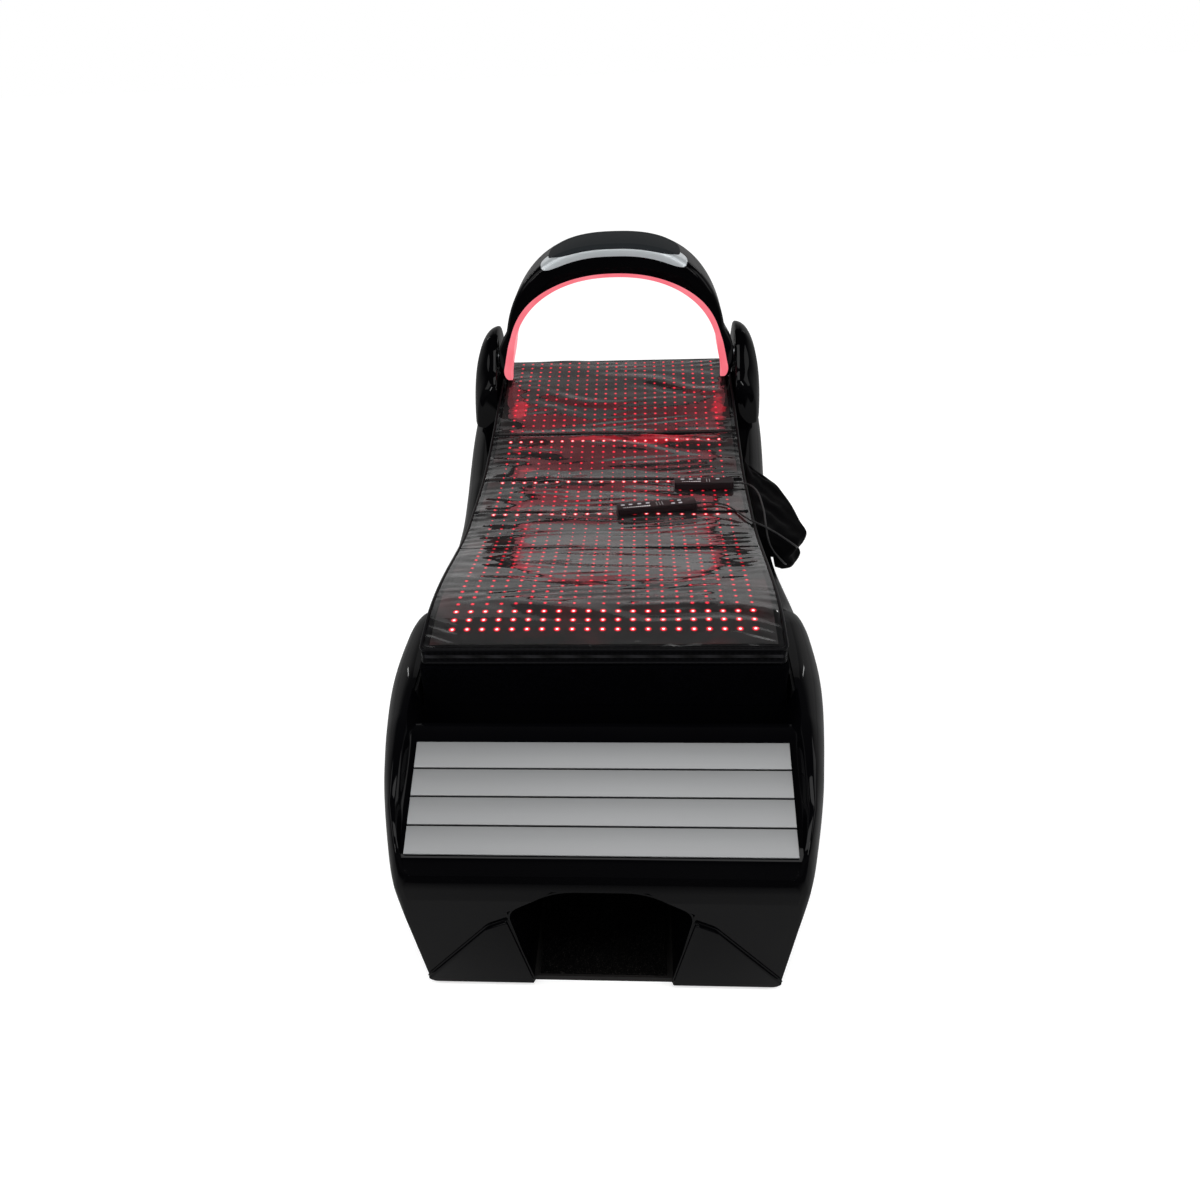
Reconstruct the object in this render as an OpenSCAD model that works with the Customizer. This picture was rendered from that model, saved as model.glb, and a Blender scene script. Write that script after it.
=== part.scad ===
// Red light therapy bed: a gloss moulded body with a contoured mattress, a light mat on it,
// a brushed foot tread at the front and a light arch that tilts over the head end.
// Lengths along the bed start at the front of the plinth and grow towards the head.

/* [Body] */
// Length from the front of the plinth to the head end
bed_l = 2330; // [2250:5:2500]
// How far the foot nose stands out in front of the plinth
nose_out = 60; // [40:1:80]
// Height of the crease under the foot nose
crease_z = 290; // [250:1:310]
// How far the foot nose stays inside the line of the mattress pocket
nose_in = 10; // [0:1:16]
// How far the front of the plinth stands out past the mattress pocket
toe_out = 13; // [8:1:28]
// How far the foot shoulders stand out past the mattress pocket
pod_out = 74; // [60:1:96]
// How far the waist stands out past the mattress pocket
waist_out = 40; // [34:1:52]
// How far the body stands out past the mattress pocket beside the head
head_out = 88; // [80:1:106]
// How far the flat rear end stands out past the mattress pocket
tail_out = 20; // [0:1:46]
// How far the sides lean in from the widest line down to the floor
flare = 54; // [30:1:70]
// Wall of the moulded body
wall = 7; // [5:0.5:9]
// Radius of the shoulders seen from the end
shoulder_r = 58; // [30:1:70]
// Height of the shoulder rounding
shoulder_h = 78; // [50:1:90]
// Flat strip kept between the shoulder and the mattress pocket
rail_flat = 9; // [5:1:14]
// Gap between the body's lower edge and the floor
floor_gap = 3; // [2:0.5:8]

/* [Rails] */
// Height of the foot shoulders
pod_z = 546; // [535:1:560]
// Height of the rails at the waist
waist_rail_z = 488; // [475:1:500]
// Height of the rails at the head end
head_rail_z = 625; // [610:1:640]

/* [Mattress] */
// Half width of the foam mattress
foam_half = 400; // [390:1:404]
// Thickness of the foam mattress
foam_t = 140; // [120:1:150]
// Thickness of the light mat
mat_t = 40; // [34:1:44]
// How far the light mat stays inside the edge of the foam
mat_inset = 8; // [2:1:20]
// Front edge of the mattress along the bed
foam_front = 331; // [328:1:345]
// Distance from the mattress's rear edge to the head end
head_margin = 140; // [135:1:180]
// Height of the mattress top at the knee crest
knee_z = 653; // [640:1:665]
// Height of the mattress top at the waist
seat_z = 577; // [570:1:590]
// Height that the mattress top would reach under the pillow
pillow_z = 717; // [700:1:725]
// Clearance between the mattress and its pocket
pocket_gap = 12; // [8:1:16]
// Floor and wall of the mattress tub
tub_t = 6; // [4:0.5:8]
// Width of the raised border round the window of the light mat
mat_border = 14; // [12:1:50]

/* [Foot tread] */
// Length of the tread down its slope
tread_len = 245.5; // [220:0.5:250]
// Slope of the tread in degrees
tread_slope = 26.9; // [24:0.1:30]
// Distance from the end of a tread strip to the side of the plinth
tread_margin = 40.5; // [37:0.5:85]
// Distance from the nose to the tread's lower edge
tread_inset = 22; // [18:1:30]
// Height of the nose from the crease to the tread's lower edge
nose_h = 99; // [90:1:110]
// Gap between the strips
strip_gap = 3.5; // [2:0.5:6]
// Thickness of a strip
strip_t = 4; // [3:0.5:6]
// Thickness of the carrier under the strips
carrier_t = 2; // [1.5:0.5:3]

/* [Foot recess] */
// Half width of the recess at the floor
recess_low = 143; // [120:1:150]
// Half width of the recess at its shoulders
recess_high = 187; // [160:1:195]
// How far the top of the recess rises above the crease
recess_rise = 24; // [4:1:30]
// Depth of the recess
recess_d = 330; // [250:5:360]
// Wall of the recess liner
liner_t = 4; // [3:0.5:6]
// Thickness of the carpet
carpet_t = 6; // [4:1:10]
// Thickness of the skirt panels
skirt_t = 8; // [5:1:12]

/* [Light arch] */
// Thickness of the arch legs
leg_t = 29; // [24:1:44]
// Height from the pivot to the lining at the top
arch_rise = 282; // [260:1:310]
// Gap between the arch legs and the mattress
leg_clear = 7.5; // [7:0.5:10]
// Height from the pivot to the outside at the top
arch_top = 380; // [366:1:400]
// Depth of the arch at the legs
leg_d = 140; // [130:1:142]
// Depth of the arch at the top
crown_d = 252; // [200:1:270]
// Distance from the pivot to the head end
pivot_back = 294; // [270:1:310]
// Height of the pivot above the mattress
pivot_lift = 83.5; // [80:0.5:98]
// Wall of the arch casing
arch_wall = 4; // [3:0.5:5]
// Thickness of the light lining
lining_t = 4; // [3:0.5:5]

/* [Wings] */
// Gap between the mattress and the inner face of the wings
wing_clear = 1; // [0.5:0.5:5]
// Thickness of the wings at their foot
wing_w = 92; // [80:1:98]
// Height of the wings above the pivot
wing_over = 89; // [65:1:115]
// Length of the wings
wing_l = 394; // [381:1:416]
// Wall of the wings
wing_wall = 5; // [4:0.5:7]
// Radius of the hinge shaft
shaft_r = 12.5; // [10:0.5:15]
// Radial running clearance of the hinge shaft
shaft_gap = 0.05; // [0.02:0.01:0.1]
// Wall of the hinge bush
bush_t = 5; // [4:0.5:8]

/* [Handsets] */
// Length of the long handset
hand_a_l = 225; // [200:1:240]
// Length of the short handset
hand_b_l = 172; // [160:1:190]
// Width of a handset
hand_w = 46; // [40:1:52]
// Height of a handset
hand_h = 20; // [16:1:26]
// Corner radius of a handset
hand_r = 7; // [4:0.5:9]
// Thickness of a handset's cover
cover_t = 3; // [2.5:0.5:4]
// Clearance round a key
key_gap = 0.3; // [0.2:0.05:0.5]
// Diameter of the handset cords
cord_d = 5; // [4:0.5:6]

/* [Power] */
// Width of the rear inlet plate
plate_w = 150; // [140:1:200]
// Height of the rear inlet plate
plate_h = 70; // [64:1:100]
// Height of the inlet plate's middle above the floor
plate_z = 150; // [120:1:220]
// Thickness of the base plate
base_t = 12; // [8:1:20]
// Length, width and height of the power supply
psu_l = 220; // [180:1:260]
psu_w = 150; // [120:1:170]
psu_h = 70; // [50:1:100]
// Length, width and height of the control unit
control_l = 200; // [160:1:240]
control_w = 140; // [110:1:170]
control_h = 56; // [40:1:90]

/* [Hidden] */
gap = 0.3;
eps = 0.01;
// The row's origin is on the floor under the middle of the base plate.
base_front = 8;
base_inset = 14;
base_rear = bed_l - 68;
mid_y = (base_front + base_rear) / 2;
floor_drop = 5;

// Widths that follow the mattress pocket
pocket_half = foam_half + pocket_gap;
nose_half = pocket_half - nose_in;
toe_half = pocket_half + toe_out;
pod_half = pocket_half + pod_out;
waist_half = pocket_half + waist_out;
head_half = pocket_half + head_out;
tail_half = pocket_half + tail_out;
mat_half = foam_half - mat_inset;
foam_rear = bed_l - head_margin;
tread_half = toe_half - tread_margin;
tread_y = tread_inset - nose_out;
tread_z = crease_z + nose_h;

// Eases from 0 to 1
function ease(t) = let (c = min(1, max(0, t))) c * c * (3 - 2 * c);
// Mirrors half an outline, so that the ring runs up the right side and down the left one
function both(half) =
    concat(half, [for (i = [len(half) - 1:-1:0]) [-half[i][0], half[i][1]]]);
// Slope of a run between two knots, and the slope at a knot that keeps the curve from overshooting
function run_slope(k, i) = (k[i + 1][1] - k[i][1]) / (k[i + 1][0] - k[i][0]);
function knot_slope(k, i) =
    i == 0 ? run_slope(k, 0)
    : i == len(k) - 1 ? run_slope(k, i - 1)
    : let (a = run_slope(k, i - 1), b = run_slope(k, i)) a * b <= 0 ? 0 : 2 * a * b / (a + b);
// Smooth curve through knots of [place, value]
function curve(k, y) =
    y <= k[0][0] ? k[0][1]
    : y >= k[len(k) - 1][0] ? k[len(k) - 1][1]
    : let (i = max([for (j = [0:len(k) - 2]) if (y >= k[j][0]) j]),
        h = k[i + 1][0] - k[i][0],
        t = (y - k[i][0]) / h,
        a = knot_slope(k, i) * h,
        b = knot_slope(k, i + 1) * h)
        k[i][1] * (1 - ease(t)) + k[i + 1][1] * ease(t)
        + a * t * (1 - t) * (1 - t) - b * t * t * (1 - t);

// A closed skin through rings of equal length, with a fan at each end
module loft(rings) {
    n = len(rings[0]);
    m = len(rings);
    mean = [for (r = [rings[0], rings[m - 1]]) [for (c = [0:2]) [for (p = r) p[c]] * [for (p = r) 1 / n]]];
    points = concat([for (r = rings) each r], mean);
    sides = [for (i = [0:m - 2]) for (j = [0:n - 1])
        let (a = i * n + j, b = i * n + (j + 1) % n) each [[a, b, a + n], [b, b + n, a + n]]];
    first = [for (j = [0:n - 1]) [m * n, (j + 1) % n, j]];
    last = [for (j = [0:n - 1]) [m * n + 1, (m - 1) * n + j, (m - 1) * n + (j + 1) % n]];
    polyhedron(points, concat(sides, first, last), convexity = 8);
}
function mid(a, b, t) = a + (b - a) * t;
function unit(v) = v / norm(v);
// Stands an outline of [x, z] points at one place along the bed
function at_y(outline, y) = [for (p = outline) [p[0], y, p[1]]];
// Moves from the bed's datum, the front of the plinth, to the row's origin
module placed() {
    translate([0, -mid_y, 0]) children();
}
// Draws the right-hand piece on the side asked for
module on_side(side) {
    mirror([side < 0 ? 1 : 0, 0, 0]) children();
}

// Mattress top along the bed: knee crest, waist and pillow slope
knee_y = 480;
knee_front = 250;
knee_front_z = knee_z - 28;
waist_front = 1130;
waist_rear = 1330;
pillow_y = bed_l - 30;
function top_z(y) =
    y < knee_y ? knee_front_z + (knee_z - knee_front_z) * ease((y - knee_front) / (knee_y - knee_front))
    : y < waist_front ? knee_z + (seat_z - knee_z) * ease((y - knee_y) / (waist_front - knee_y))
    : seat_z + (pillow_z - seat_z) * ease((y - waist_rear) / (pillow_y - waist_rear));

// Mattress pocket
pocket_front = foam_front - 9;
pocket_rear = foam_rear + 16;
tub_drop = foam_t + mat_t + 1;

// Tread plane and the deck under it
tread_rise = tread_len * sin(tread_slope);
tread_run = tread_len * cos(tread_slope);
deck_drop = (strip_t + carrier_t + 2 * gap) / cos(tread_slope);
function tread_plane(y) = tread_z + (y - tread_y) * tan(tread_slope);
tub_front_z = top_z(pocket_front) - tub_drop;
deck_end_y = tread_y + tread_run;
deck_end_z = tread_z + tread_rise - deck_drop;
function on_nose(share) = crease_z + share * nose_h;
deck_knots = [[-nose_out, on_nose(0.44)], [-nose_out + 3, on_nose(0.585)], [-nose_out + 10, on_nose(0.735)],
    [tread_y, tread_z - deck_drop], [deck_end_y, deck_end_z], [deck_end_y + 32, deck_end_z + 15],
    [deck_end_y + 48, deck_end_z + 17], [deck_end_y + 66, deck_end_z + 9],
    [(deck_end_y + 66 + pocket_front) / 2 + 8, (deck_end_z + tub_front_z) / 2 - 4],
    [pocket_front, tub_front_z]];
function deck_z(y) =
    y > tread_y && y < deck_end_y ? tread_plane(y) - deck_drop : curve(deck_knots, y);

// Rails beside the mattress
head_start_y = 1600;
head_start_z = 515;
rail_knots = [[-nose_out, on_nose(0.44)], [-nose_out + 3, on_nose(0.605)], [-nose_out + 10, on_nose(0.765)],
    [tread_y, tread_z + 2], [60, pod_z - 94], [160, pod_z - 41], [240, pod_z - 16], [400, pod_z],
    [600, pod_z], [670, pod_z - 9], [730, waist_rail_z + 24], [800, waist_rail_z + 12],
    [1110, waist_rail_z], [1330, waist_rail_z + 2], [head_start_y, head_start_z]];
head_slope = atan((head_rail_z - head_start_z) / (bed_l - head_start_y));
function rail_z(y) =
    y < head_start_y ? curve(rail_knots, y) : head_start_z + (y - head_start_y) * tan(head_slope);

// Plan of the body at its widest line
width_knots = [[-nose_out, nose_half - 14], [-nose_out + 6, nose_half], [-nose_out + 20, nose_half + 10],
    [0, toe_half], [150, toe_half + 30], [500, pod_half], [760, pod_half - 8], [1111, waist_half],
    [bed_l - 190, head_half], [bed_l - 80, head_half - 12], [bed_l - 30, tail_half + 36], [bed_l, tail_half]];
function front_z(y, o) = max(floor_gap - (o > 0 ? floor_drop : 0), -(y - o) * crease_z / nose_out);
foot_r = 10;
nose_corner = 16;
shoulder_steps = 5;
// One ring across the body; o insets it to make the inside of the wall
function body_ring(y, o) =
    let (w0 = curve(width_knots, y),
        a0 = max(nose_corner, min(shoulder_r, w0 - pocket_half - rail_flat)),
        w = w0 - o,
        a = a0 - 0.7 * o,
        zt = rail_z(y) - o,
        zb = front_z(y, o),
        zd = (y > pocket_front ? rail_z(y) : deck_z(y)) - o,
        zs = zt - min(shoulder_h, (zt - zb) * 0.45),
        lean = flare * (1 - zb / zs),
        r = min(foot_r, (zs - zb) * 0.2),
        flat_x = w - a - 0.6 * rail_flat + 0.45 * o,
        deck_x = min(tread_half + 9 + 0.5 * o, flat_x - 2))
    at_y(both(concat(
        [[0, zb], [w - lean - r, zb], [w - lean + r * 0.2, zb + r]],
        [for (u = [0.4, 0.75]) [w - lean * (1 - u), zb + (zs - zb) * u]],
        [for (k = [0:shoulder_steps]) let (f = 90 * k / shoulder_steps)
            [w - a * (1 - cos(f)), zs + (zt - zs) * sin(f)]],
        [[flat_x, zt], [deck_x, max(zd, min(zt, zd + 8))], [deck_x - 5, zd], [0, zd]])), y);
front_stations = [for (s = [0, 3, 10, 20, 34, 48]) -nose_out + s];
mid_stations = [0, 40, 90, 140, 181, 213, 229, 247, 275, 300, pocket_front, 380, 460, 560, 640, 690, 740,
    800, 940, 1111, 1300, 1500, 1700, 1900];
tail_stations = [for (s = [190, 80, 30, 12, 0]) bed_l - s];
body_stations = concat(front_stations, [for (y = mid_stations) if (y < bed_l - 200) y], tail_stations);
inner_stations = concat([for (y = body_stations) if (y > wall - nose_out && y <= 0) y], [wall, wall + 2],
    [for (y = body_stations) if (y > wall + 2 && y < bed_l - wall - 6) y], [bed_l - wall]);

lug_ys = [340, 700, 1060, 1500, 1900];
lug_w = 30;
lug_l = 44;
lug_h = 34;
// A lug that ties the shell's lower edge to the base plate
module lug(side, y) on_side(side) {
    x = curve(width_knots, y) - flare;
    hull() {
        translate([x - lug_l, y, base_t + gap]) cube([lug_l - 2, lug_w, 4]);
        translate([x - wall + 2, y, base_t + gap]) cube([3, lug_w, lug_h]);
    }
}
module body_shell() color([0.02, 0.02, 0.02]) placed() {
    difference() {
        loft([for (y = body_stations) body_ring(y, 0)]);
        loft([for (y = inner_stations) body_ring(y, wall)]);
        translate([-pocket_half, pocket_front, tub_front_z - 200])
            cube([2 * pocket_half, pocket_rear - pocket_front, 600]);
        recess_prism(0, recess_d);
        inlet_cut();
        vent_cut();
    }
    for (y = lug_ys) for (side = [-1, 1]) lug(side, y);
}

// Foot recess: a notch through the front face with chamfered upper corners
recess_z = crease_z + recess_rise;
recess_shoulder_z = recess_z - 62;
recess_top_half = recess_high - 92;
module recess_outline(o) {
    polygon([[-recess_low + o, -20], [-recess_high + o, recess_shoulder_z - o * 0.5],
        [-recess_top_half, recess_z - o], [recess_top_half, recess_z - o],
        [recess_high - o, recess_shoulder_z - o * 0.5], [recess_low - o, -20]]);
}
module recess_prism(o, depth) {
    translate([0, depth, 0]) rotate([90, 0, 0])
        linear_extrude(depth + nose_out + 40) recess_outline(o);
}
// Space in front of the leaning front face, moved back by d
module before_front(d) {
    lean = atan(nose_out / crease_z);
    translate([-600, d, 0]) rotate([lean, 0, 0]) translate([0, -400, -100]) cube([1200, 400, 700]);
}
lip_back = 4;
module recess_liner() color([0.03, 0.03, 0.03]) placed() difference() {
    recess_prism(gap, recess_d - gap);
    recess_prism(liner_t + gap, recess_d - liner_t);
    before_front(0);
    translate([-600, lip_back - nose_out - 400, 0]) cube([1200, 400, 700]);
    translate([-600, -200, -100]) cube([1200, 800, 100 + base_t + gap]);
}
carpet_gap = liner_t + 4;
module recess_carpet() color([0.08, 0.08, 0.09]) placed()
    translate([-recess_low + carpet_gap, base_front + 6, base_t])
        cube([2 * (recess_low - carpet_gap), recess_d - liner_t - base_front - 8, carpet_t]);

// Skirt panels: raised trapezoids on the leaning front face at both sides of the recess
skirt_edge = toe_half - flare;
skirt_low = 10;
skirt_rise = 12;
skirt_run = 144;
skirt_drop = 20;
skirt_gap = 4;
module skirt(side) placed() on_side(side)
    rotate([90 + atan(nose_out / crease_z), 0, 0]) translate([0, 0, gap]) linear_extrude(skirt_t)
        polygon([[skirt_edge + skirt_gap, skirt_low + skirt_rise],
            [skirt_edge + skirt_gap - skirt_run, recess_shoulder_z - skirt_drop - 2 * skirt_rise],
            [recess_high + skirt_gap, recess_shoulder_z - skirt_drop],
            [recess_low + skirt_gap - 1, skirt_low], [skirt_edge - skirt_rise + skirt_gap, skirt_low]]);
module skirt_left() color([0.03, 0.03, 0.03]) skirt(-1);
module skirt_right() color([0.03, 0.03, 0.03]) skirt(1);

// Base plate that the shell, the frame and the recess liner stand on
module base_plate() color([0.12, 0.12, 0.12]) placed() linear_extrude(base_t)
    polygon(both([for (y = base_places) [curve(width_knots, y) - flare - base_inset, y]]));
base_places = concat([base_front], [for (y = mid_stations) if (y > 80 && y < base_rear - 60) y], [base_rear]);

// Steel frame: four portals that carry the tub
frame_ys = [480, 900, 1400, bed_l - 330];
post_x = 300;
tube_w = 40;
tube_wall = 2;
beam_half = pocket_half - 20;
bore_w = tube_w - 2 * tube_wall;
module post(h) difference() {
    translate([-tube_w / 2, 0, 0]) cube([tube_w, tube_w, h]);
    translate([-bore_w / 2, tube_wall, -1]) cube([bore_w, bore_w, h + 2]);
}
module beam() difference() {
    translate([-beam_half, 0, 0]) cube([2 * beam_half, tube_w, tube_w]);
    translate([-beam_half - 1, tube_wall, tube_wall]) cube([2 * beam_half + 2, bore_w, bore_w]);
}
module steel_frame() color([0.25, 0.25, 0.26]) placed() for (y = frame_ys)
    let (z = min(top_z(y), top_z(y + tube_w)) - tub_drop - tub_t - 1) {
        for (s = [-1, 1]) translate([s * post_x, y, base_t]) post(z - base_t - tube_w);
        translate([0, y, z - tube_w]) beam();
    }

// Places along the mattress that all its layers share, so that they stay parallel
fold_shares = [0.3034, 0.4486, 0.5724, 0.7257];
seam_ys = [for (share = fold_shares) foam_front + share * (foam_rear - foam_front)];
seam_w = 12;
bed_steps = 36;
function near_seam(y) = min([for (s = seam_ys) abs(y - s)]) < 2 * seam_w;
function sorted(v) = len(v) <= 1 ? v : let (p = v[0], r = [for (i = [1:len(v) - 1]) v[i]])
    concat(sorted([for (x = r) if (x < p) x]), [p], sorted([for (x = r) if (x >= p) x]));
even_places = [for (i = [1:bed_steps - 1]) foam_front + (foam_rear - foam_front) * i / bed_steps];
bed_places = sorted(concat([for (y = even_places) if (!near_seam(y)) y],
    [for (s = seam_ys) for (d = [-seam_w, 0, seam_w]) s + d]));
function along(y0, y1) = concat([y0], [for (y = bed_places) if (y > y0 + 2 && y < y1 - 2) y], [y1]);
// A sheet that follows the mattress top at a drop below it, between two places along the bed
module curved_sheet(half, y0, y1, drop, t) {
    ys = along(y0, y1);
    n = len(ys);
    rotate([90, 0, 90]) translate([0, 0, -half]) linear_extrude(2 * half) polygon(concat(
        [for (y = ys) [y, top_z(y) - drop]],
        [for (i = [n - 1:-1:0]) [ys[i], top_z(ys[i]) - drop - t]]));
}

// Mattress tub: curved floor, side walls and a rear upstand
tub_half = pocket_half - gap;
module mattress_tub() color([0.04, 0.04, 0.04]) placed() {
    y0 = pocket_front + gap;
    y1 = pocket_rear - gap;
    ys = along(y0, y1);
    n = len(ys);
    curved_sheet(tub_half, y0, y1, tub_drop, tub_t);
    for (s = [-1, 1]) translate([s < 0 ? -tub_half : tub_half - tub_t, 0, 0]) rotate([90, 0, 90])
        linear_extrude(tub_t) polygon(concat([for (y = ys) [y, top_z(y) - tub_drop - 1]],
            [for (i = [n - 1:-1:0]) [ys[i], max(top_z(ys[i]) - tub_drop, rail_z(ys[i]) - 6)]]));
    translate([-tub_half, y1 - tub_t, top_z(y1) - tub_drop - 1])
        cube([2 * tub_half, tub_t, rail_z(y1) - top_z(y1) + tub_drop - 5]);
}

// Foam mattress in a velvet cover: rounded edges, drawn-in sides
foam_r = 16;
function foam_ring(y, e) =
    let (h = foam_half - e, zb = top_z(y) - foam_t - mat_t + e * 0.6, zt = top_z(y) - mat_t - gap)
    at_y(both([[0, zb], [h - foam_r, zb], [h - 4, zb + 5], [h, zb + foam_r], [h - 3, (zb + zt) / 2],
        [h, zt - 14], [h - 3, zt - 4], [h - 12, zt], [0, zt]]), y);
foam_end = 18;
module foam_mattress() color([0.06, 0.06, 0.07]) placed() loft(concat(
    [foam_ring(foam_front, foam_end), foam_ring(foam_front + 5, 7)],
    [for (y = along(foam_front + foam_end, foam_rear - foam_end)) foam_ring(y, 0)],
    [foam_ring(foam_rear - 5, 7), foam_ring(foam_rear, foam_end)]));

// Light mat: a padded base with a raised border and cross seams, panels in its recess, clear window on top
mat_front = foam_front + 2;
mat_rear = foam_rear - 2;
seam_deep = 5;
panel_t = 2.2;
panel_gap = 0.7;
window_t = 1.2;
tray = panel_t + window_t + 2 * gap + panel_gap;
function seam_dip(y) = seam_deep * max([for (s = seam_ys) max(0, 1 - abs(y - s) / seam_w)]);
function mat_ring(y, e, low) =
    let (h = mat_half - e, zb = top_z(y) - mat_t, zt = top_z(y) - e * 0.4,
        dip = seam_dip(y), zc = low ? top_z(y) - tray : zt)
    at_y(both([[0, zb], [h - 9, zb], [h - 2, zb + 8], [h - dip * 0.4, (zb + zt) / 2], [h - 2, zt - 8],
        [h - 0.35 * mat_border, zt - 1 - dip * 0.4], [h - 0.7 * mat_border, zt - dip * 0.4],
        [h - mat_border, zc - (low ? 0 : dip * 0.4)],
        [0, zc]]), y);
module mat_base() color([0.05, 0.05, 0.06]) placed() loft(concat(
    [mat_ring(mat_front, 7, false), mat_ring(mat_front + 3, 2, false)],
    [for (d = [0.6 * mat_border, mat_border - 1]) mat_ring(mat_front + d, 0, false)],
    [for (y = along(mat_front + mat_border, mat_rear - mat_border)) mat_ring(y, 0, true)],
    [mat_ring(mat_rear - mat_border + 1, 0, false), mat_ring(mat_rear - 0.6 * mat_border, 0, false),
        mat_ring(mat_rear - 3, 2, false), mat_ring(mat_rear, 7, false)]));
panel_half = mat_half - mat_border - 2;
window_half = panel_half;
tray_front = mat_front + mat_border + 2;
tray_rear = mat_rear - mat_border - 2;
module led_panel(y0, y1) {
    curved_sheet(panel_half - 3, y0, y1, tray - panel_gap - panel_t, panel_t);
}
module led_panel_foot() color([0.2, 0.02, 0.03]) placed() led_panel(tray_front, seam_ys[0] - 4);
module led_panel_middle() color([0.2, 0.02, 0.03]) placed() led_panel(seam_ys[0] + 4, seam_ys[3] - 4);
module led_panel_head() color([0.2, 0.02, 0.03]) placed() led_panel(seam_ys[3] + 4, tray_rear);
module mat_window() color([0.75, 0.78, 0.8, 0.35]) placed()
    curved_sheet(window_half, tray_front, tray_rear, gap, window_t);

// Foot tread: a carrier and four brushed strips on the deck slope
module on_tread() {
    translate([0, tread_y, tread_z]) rotate([tread_slope, 0, 0]) children();
}
strips = 4;
strip_w = (tread_len - (strips - 1) * strip_gap) / strips;
module tread_carrier() color([0.05, 0.05, 0.05]) placed() on_tread()
    translate([-tread_half + 2, 2, -strip_t - carrier_t - gap])
        cube([2 * (tread_half - 2), tread_len - 4, carrier_t]);
module tread_strip(i) color([0.6, 0.61, 0.63]) placed() on_tread()
    translate([-tread_half, i * (strip_w + strip_gap), -strip_t - gap])
        cube([2 * tread_half, strip_w, strip_t]);
module tread_strip_1() tread_strip(0);
module tread_strip_2() tread_strip(1);
module tread_strip_3() tread_strip(2);
module tread_strip_4() tread_strip(3);

// Wings: hollow fins on the rails, tallest at their inner face
wing_back = bed_l - 14;
wing_front = wing_back - wing_l;
wing_in = foam_half + wing_clear;
pivot_y = bed_l - pivot_back;
pivot_z = top_z(pivot_y) + pivot_lift;
wing_top = pivot_z + wing_over;
wing_rise = [[wing_front, wing_top - 166], [wing_front + 8, wing_top - 148],
    [wing_front + 40, wing_top - 104], [wing_front + 80, wing_top - 42], [wing_front + 118, wing_top - 8],
    [wing_front + 165, wing_top], [wing_front + 225, wing_top - 8], [wing_back - 100, wing_top - 62],
    [wing_back - 34, wing_top - 150], [wing_back, wing_top - 214]];
wing_out = [[wing_front, wing_w - 32], [wing_front + 10, wing_w - 18], [wing_front + 60, wing_w - 5],
    [wing_front + 120, wing_w], [wing_back - 120, wing_w], [wing_back - 34, wing_w - 22],
    [wing_back, wing_w - 50]];
wing_steps = 8;
wing_power = 2.3;
function wing_ring(y, o) =
    let (zb = rail_z(y) + gap - (o > 0 ? 1 : 0), zt = curve(wing_rise, y) - o, w = curve(wing_out, y) - o)
    concat([[wing_in + (o > 0 ? o : 0), y, zb]],
        [for (k = [0:wing_steps]) let (f = 90 * k / wing_steps)
            [wing_in + (o > 0 ? o : 0) + (w - (o > 0 ? o : 0)) * pow(cos(f), 2 / wing_power), y,
                zb + (zt - zb) * pow(sin(f), 2 / wing_power)]]);
wing_places = concat([for (s = [0, 3, 10, 24, 44, 66, 90, 118, 165]) wing_front + s],
    [for (s = [170, 130, 100, 70, 40, 16, 4, 0]) wing_back - s]);
boss_r = shaft_r + bush_t + 9;
bush_l = 44;
module wing(side) placed() on_side(side) difference() {
    union() {
        difference() {
            loft([for (y = wing_places) wing_ring(y, 0)]);
            loft([for (y = wing_places) if (y > wing_front + wing_wall && y < wing_back - wing_wall)
                wing_ring(y, wing_wall)]);
        }
        translate([wing_in + 1, pivot_y, pivot_z]) rotate([0, 90, 0])
            cylinder(r = boss_r, h = bush_l - 1, $fn = 48);
    }
    translate([wing_in - 1, pivot_y, pivot_z]) rotate([0, 90, 0])
        cylinder(r = shaft_r + bush_t, h = bush_l + 4, $fn = 48);
}
module wing_left() color([0.03, 0.03, 0.03]) wing(-1);
module wing_right() color([0.03, 0.03, 0.03]) wing(1);
module at_pivot(side) placed() on_side(side) translate([0, pivot_y, pivot_z]) rotate([0, 90, 0]) children();
module hinge_bushes() color([0.72, 0.55, 0.3]) for (side = [-1, 1]) at_pivot(side)
    translate([0, 0, wing_in + gap]) difference() {
        cylinder(r = shaft_r + bush_t, h = bush_l - gap, $fn = 48);
        translate([0, 0, -1]) cylinder(r = shaft_r + shaft_gap, h = bush_l + 2, $fn = 48);
    }
flange_t = 5;
flange_gap = 2;
nut_t = 9;
module hinge_shafts() color([0.6, 0.6, 0.62]) for (side = [-1, 1]) at_pivot(side) {
    translate([0, 0, arch_out]) cylinder(r = flange_r, h = flange_t, $fn = 48);
    translate([0, 0, arch_out]) cylinder(r = shaft_r, h = wing_in - arch_out + bush_l + gap + 2, $fn = 48);
}
module hinge_nuts() color([0.5, 0.5, 0.52]) for (side = [-1, 1]) at_pivot(side)
    translate([0, 0, wing_in + bush_l + gap + 2]) cylinder(r = shaft_r + 7, h = nut_t, $fn = 6);

// Light arch: swept along a squared ellipse about the pivot
in_power = 2.2;
out_power = 2.45;
leg_r = pivot_lift - leg_clear;
tip_flat = 4.5;
leg_drop = leg_r - tip_flat;
leg_steps = 6;
crown_turns = 32;
arch_out = wing_in - flange_gap - flange_t;
arch_in = arch_out - leg_t;
function oval(f, a, b, n) =
    [a * sign(cos(f)) * pow(abs(cos(f)), 2 / n), b * sign(sin(f)) * pow(abs(sin(f)), 2 / n)];
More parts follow.
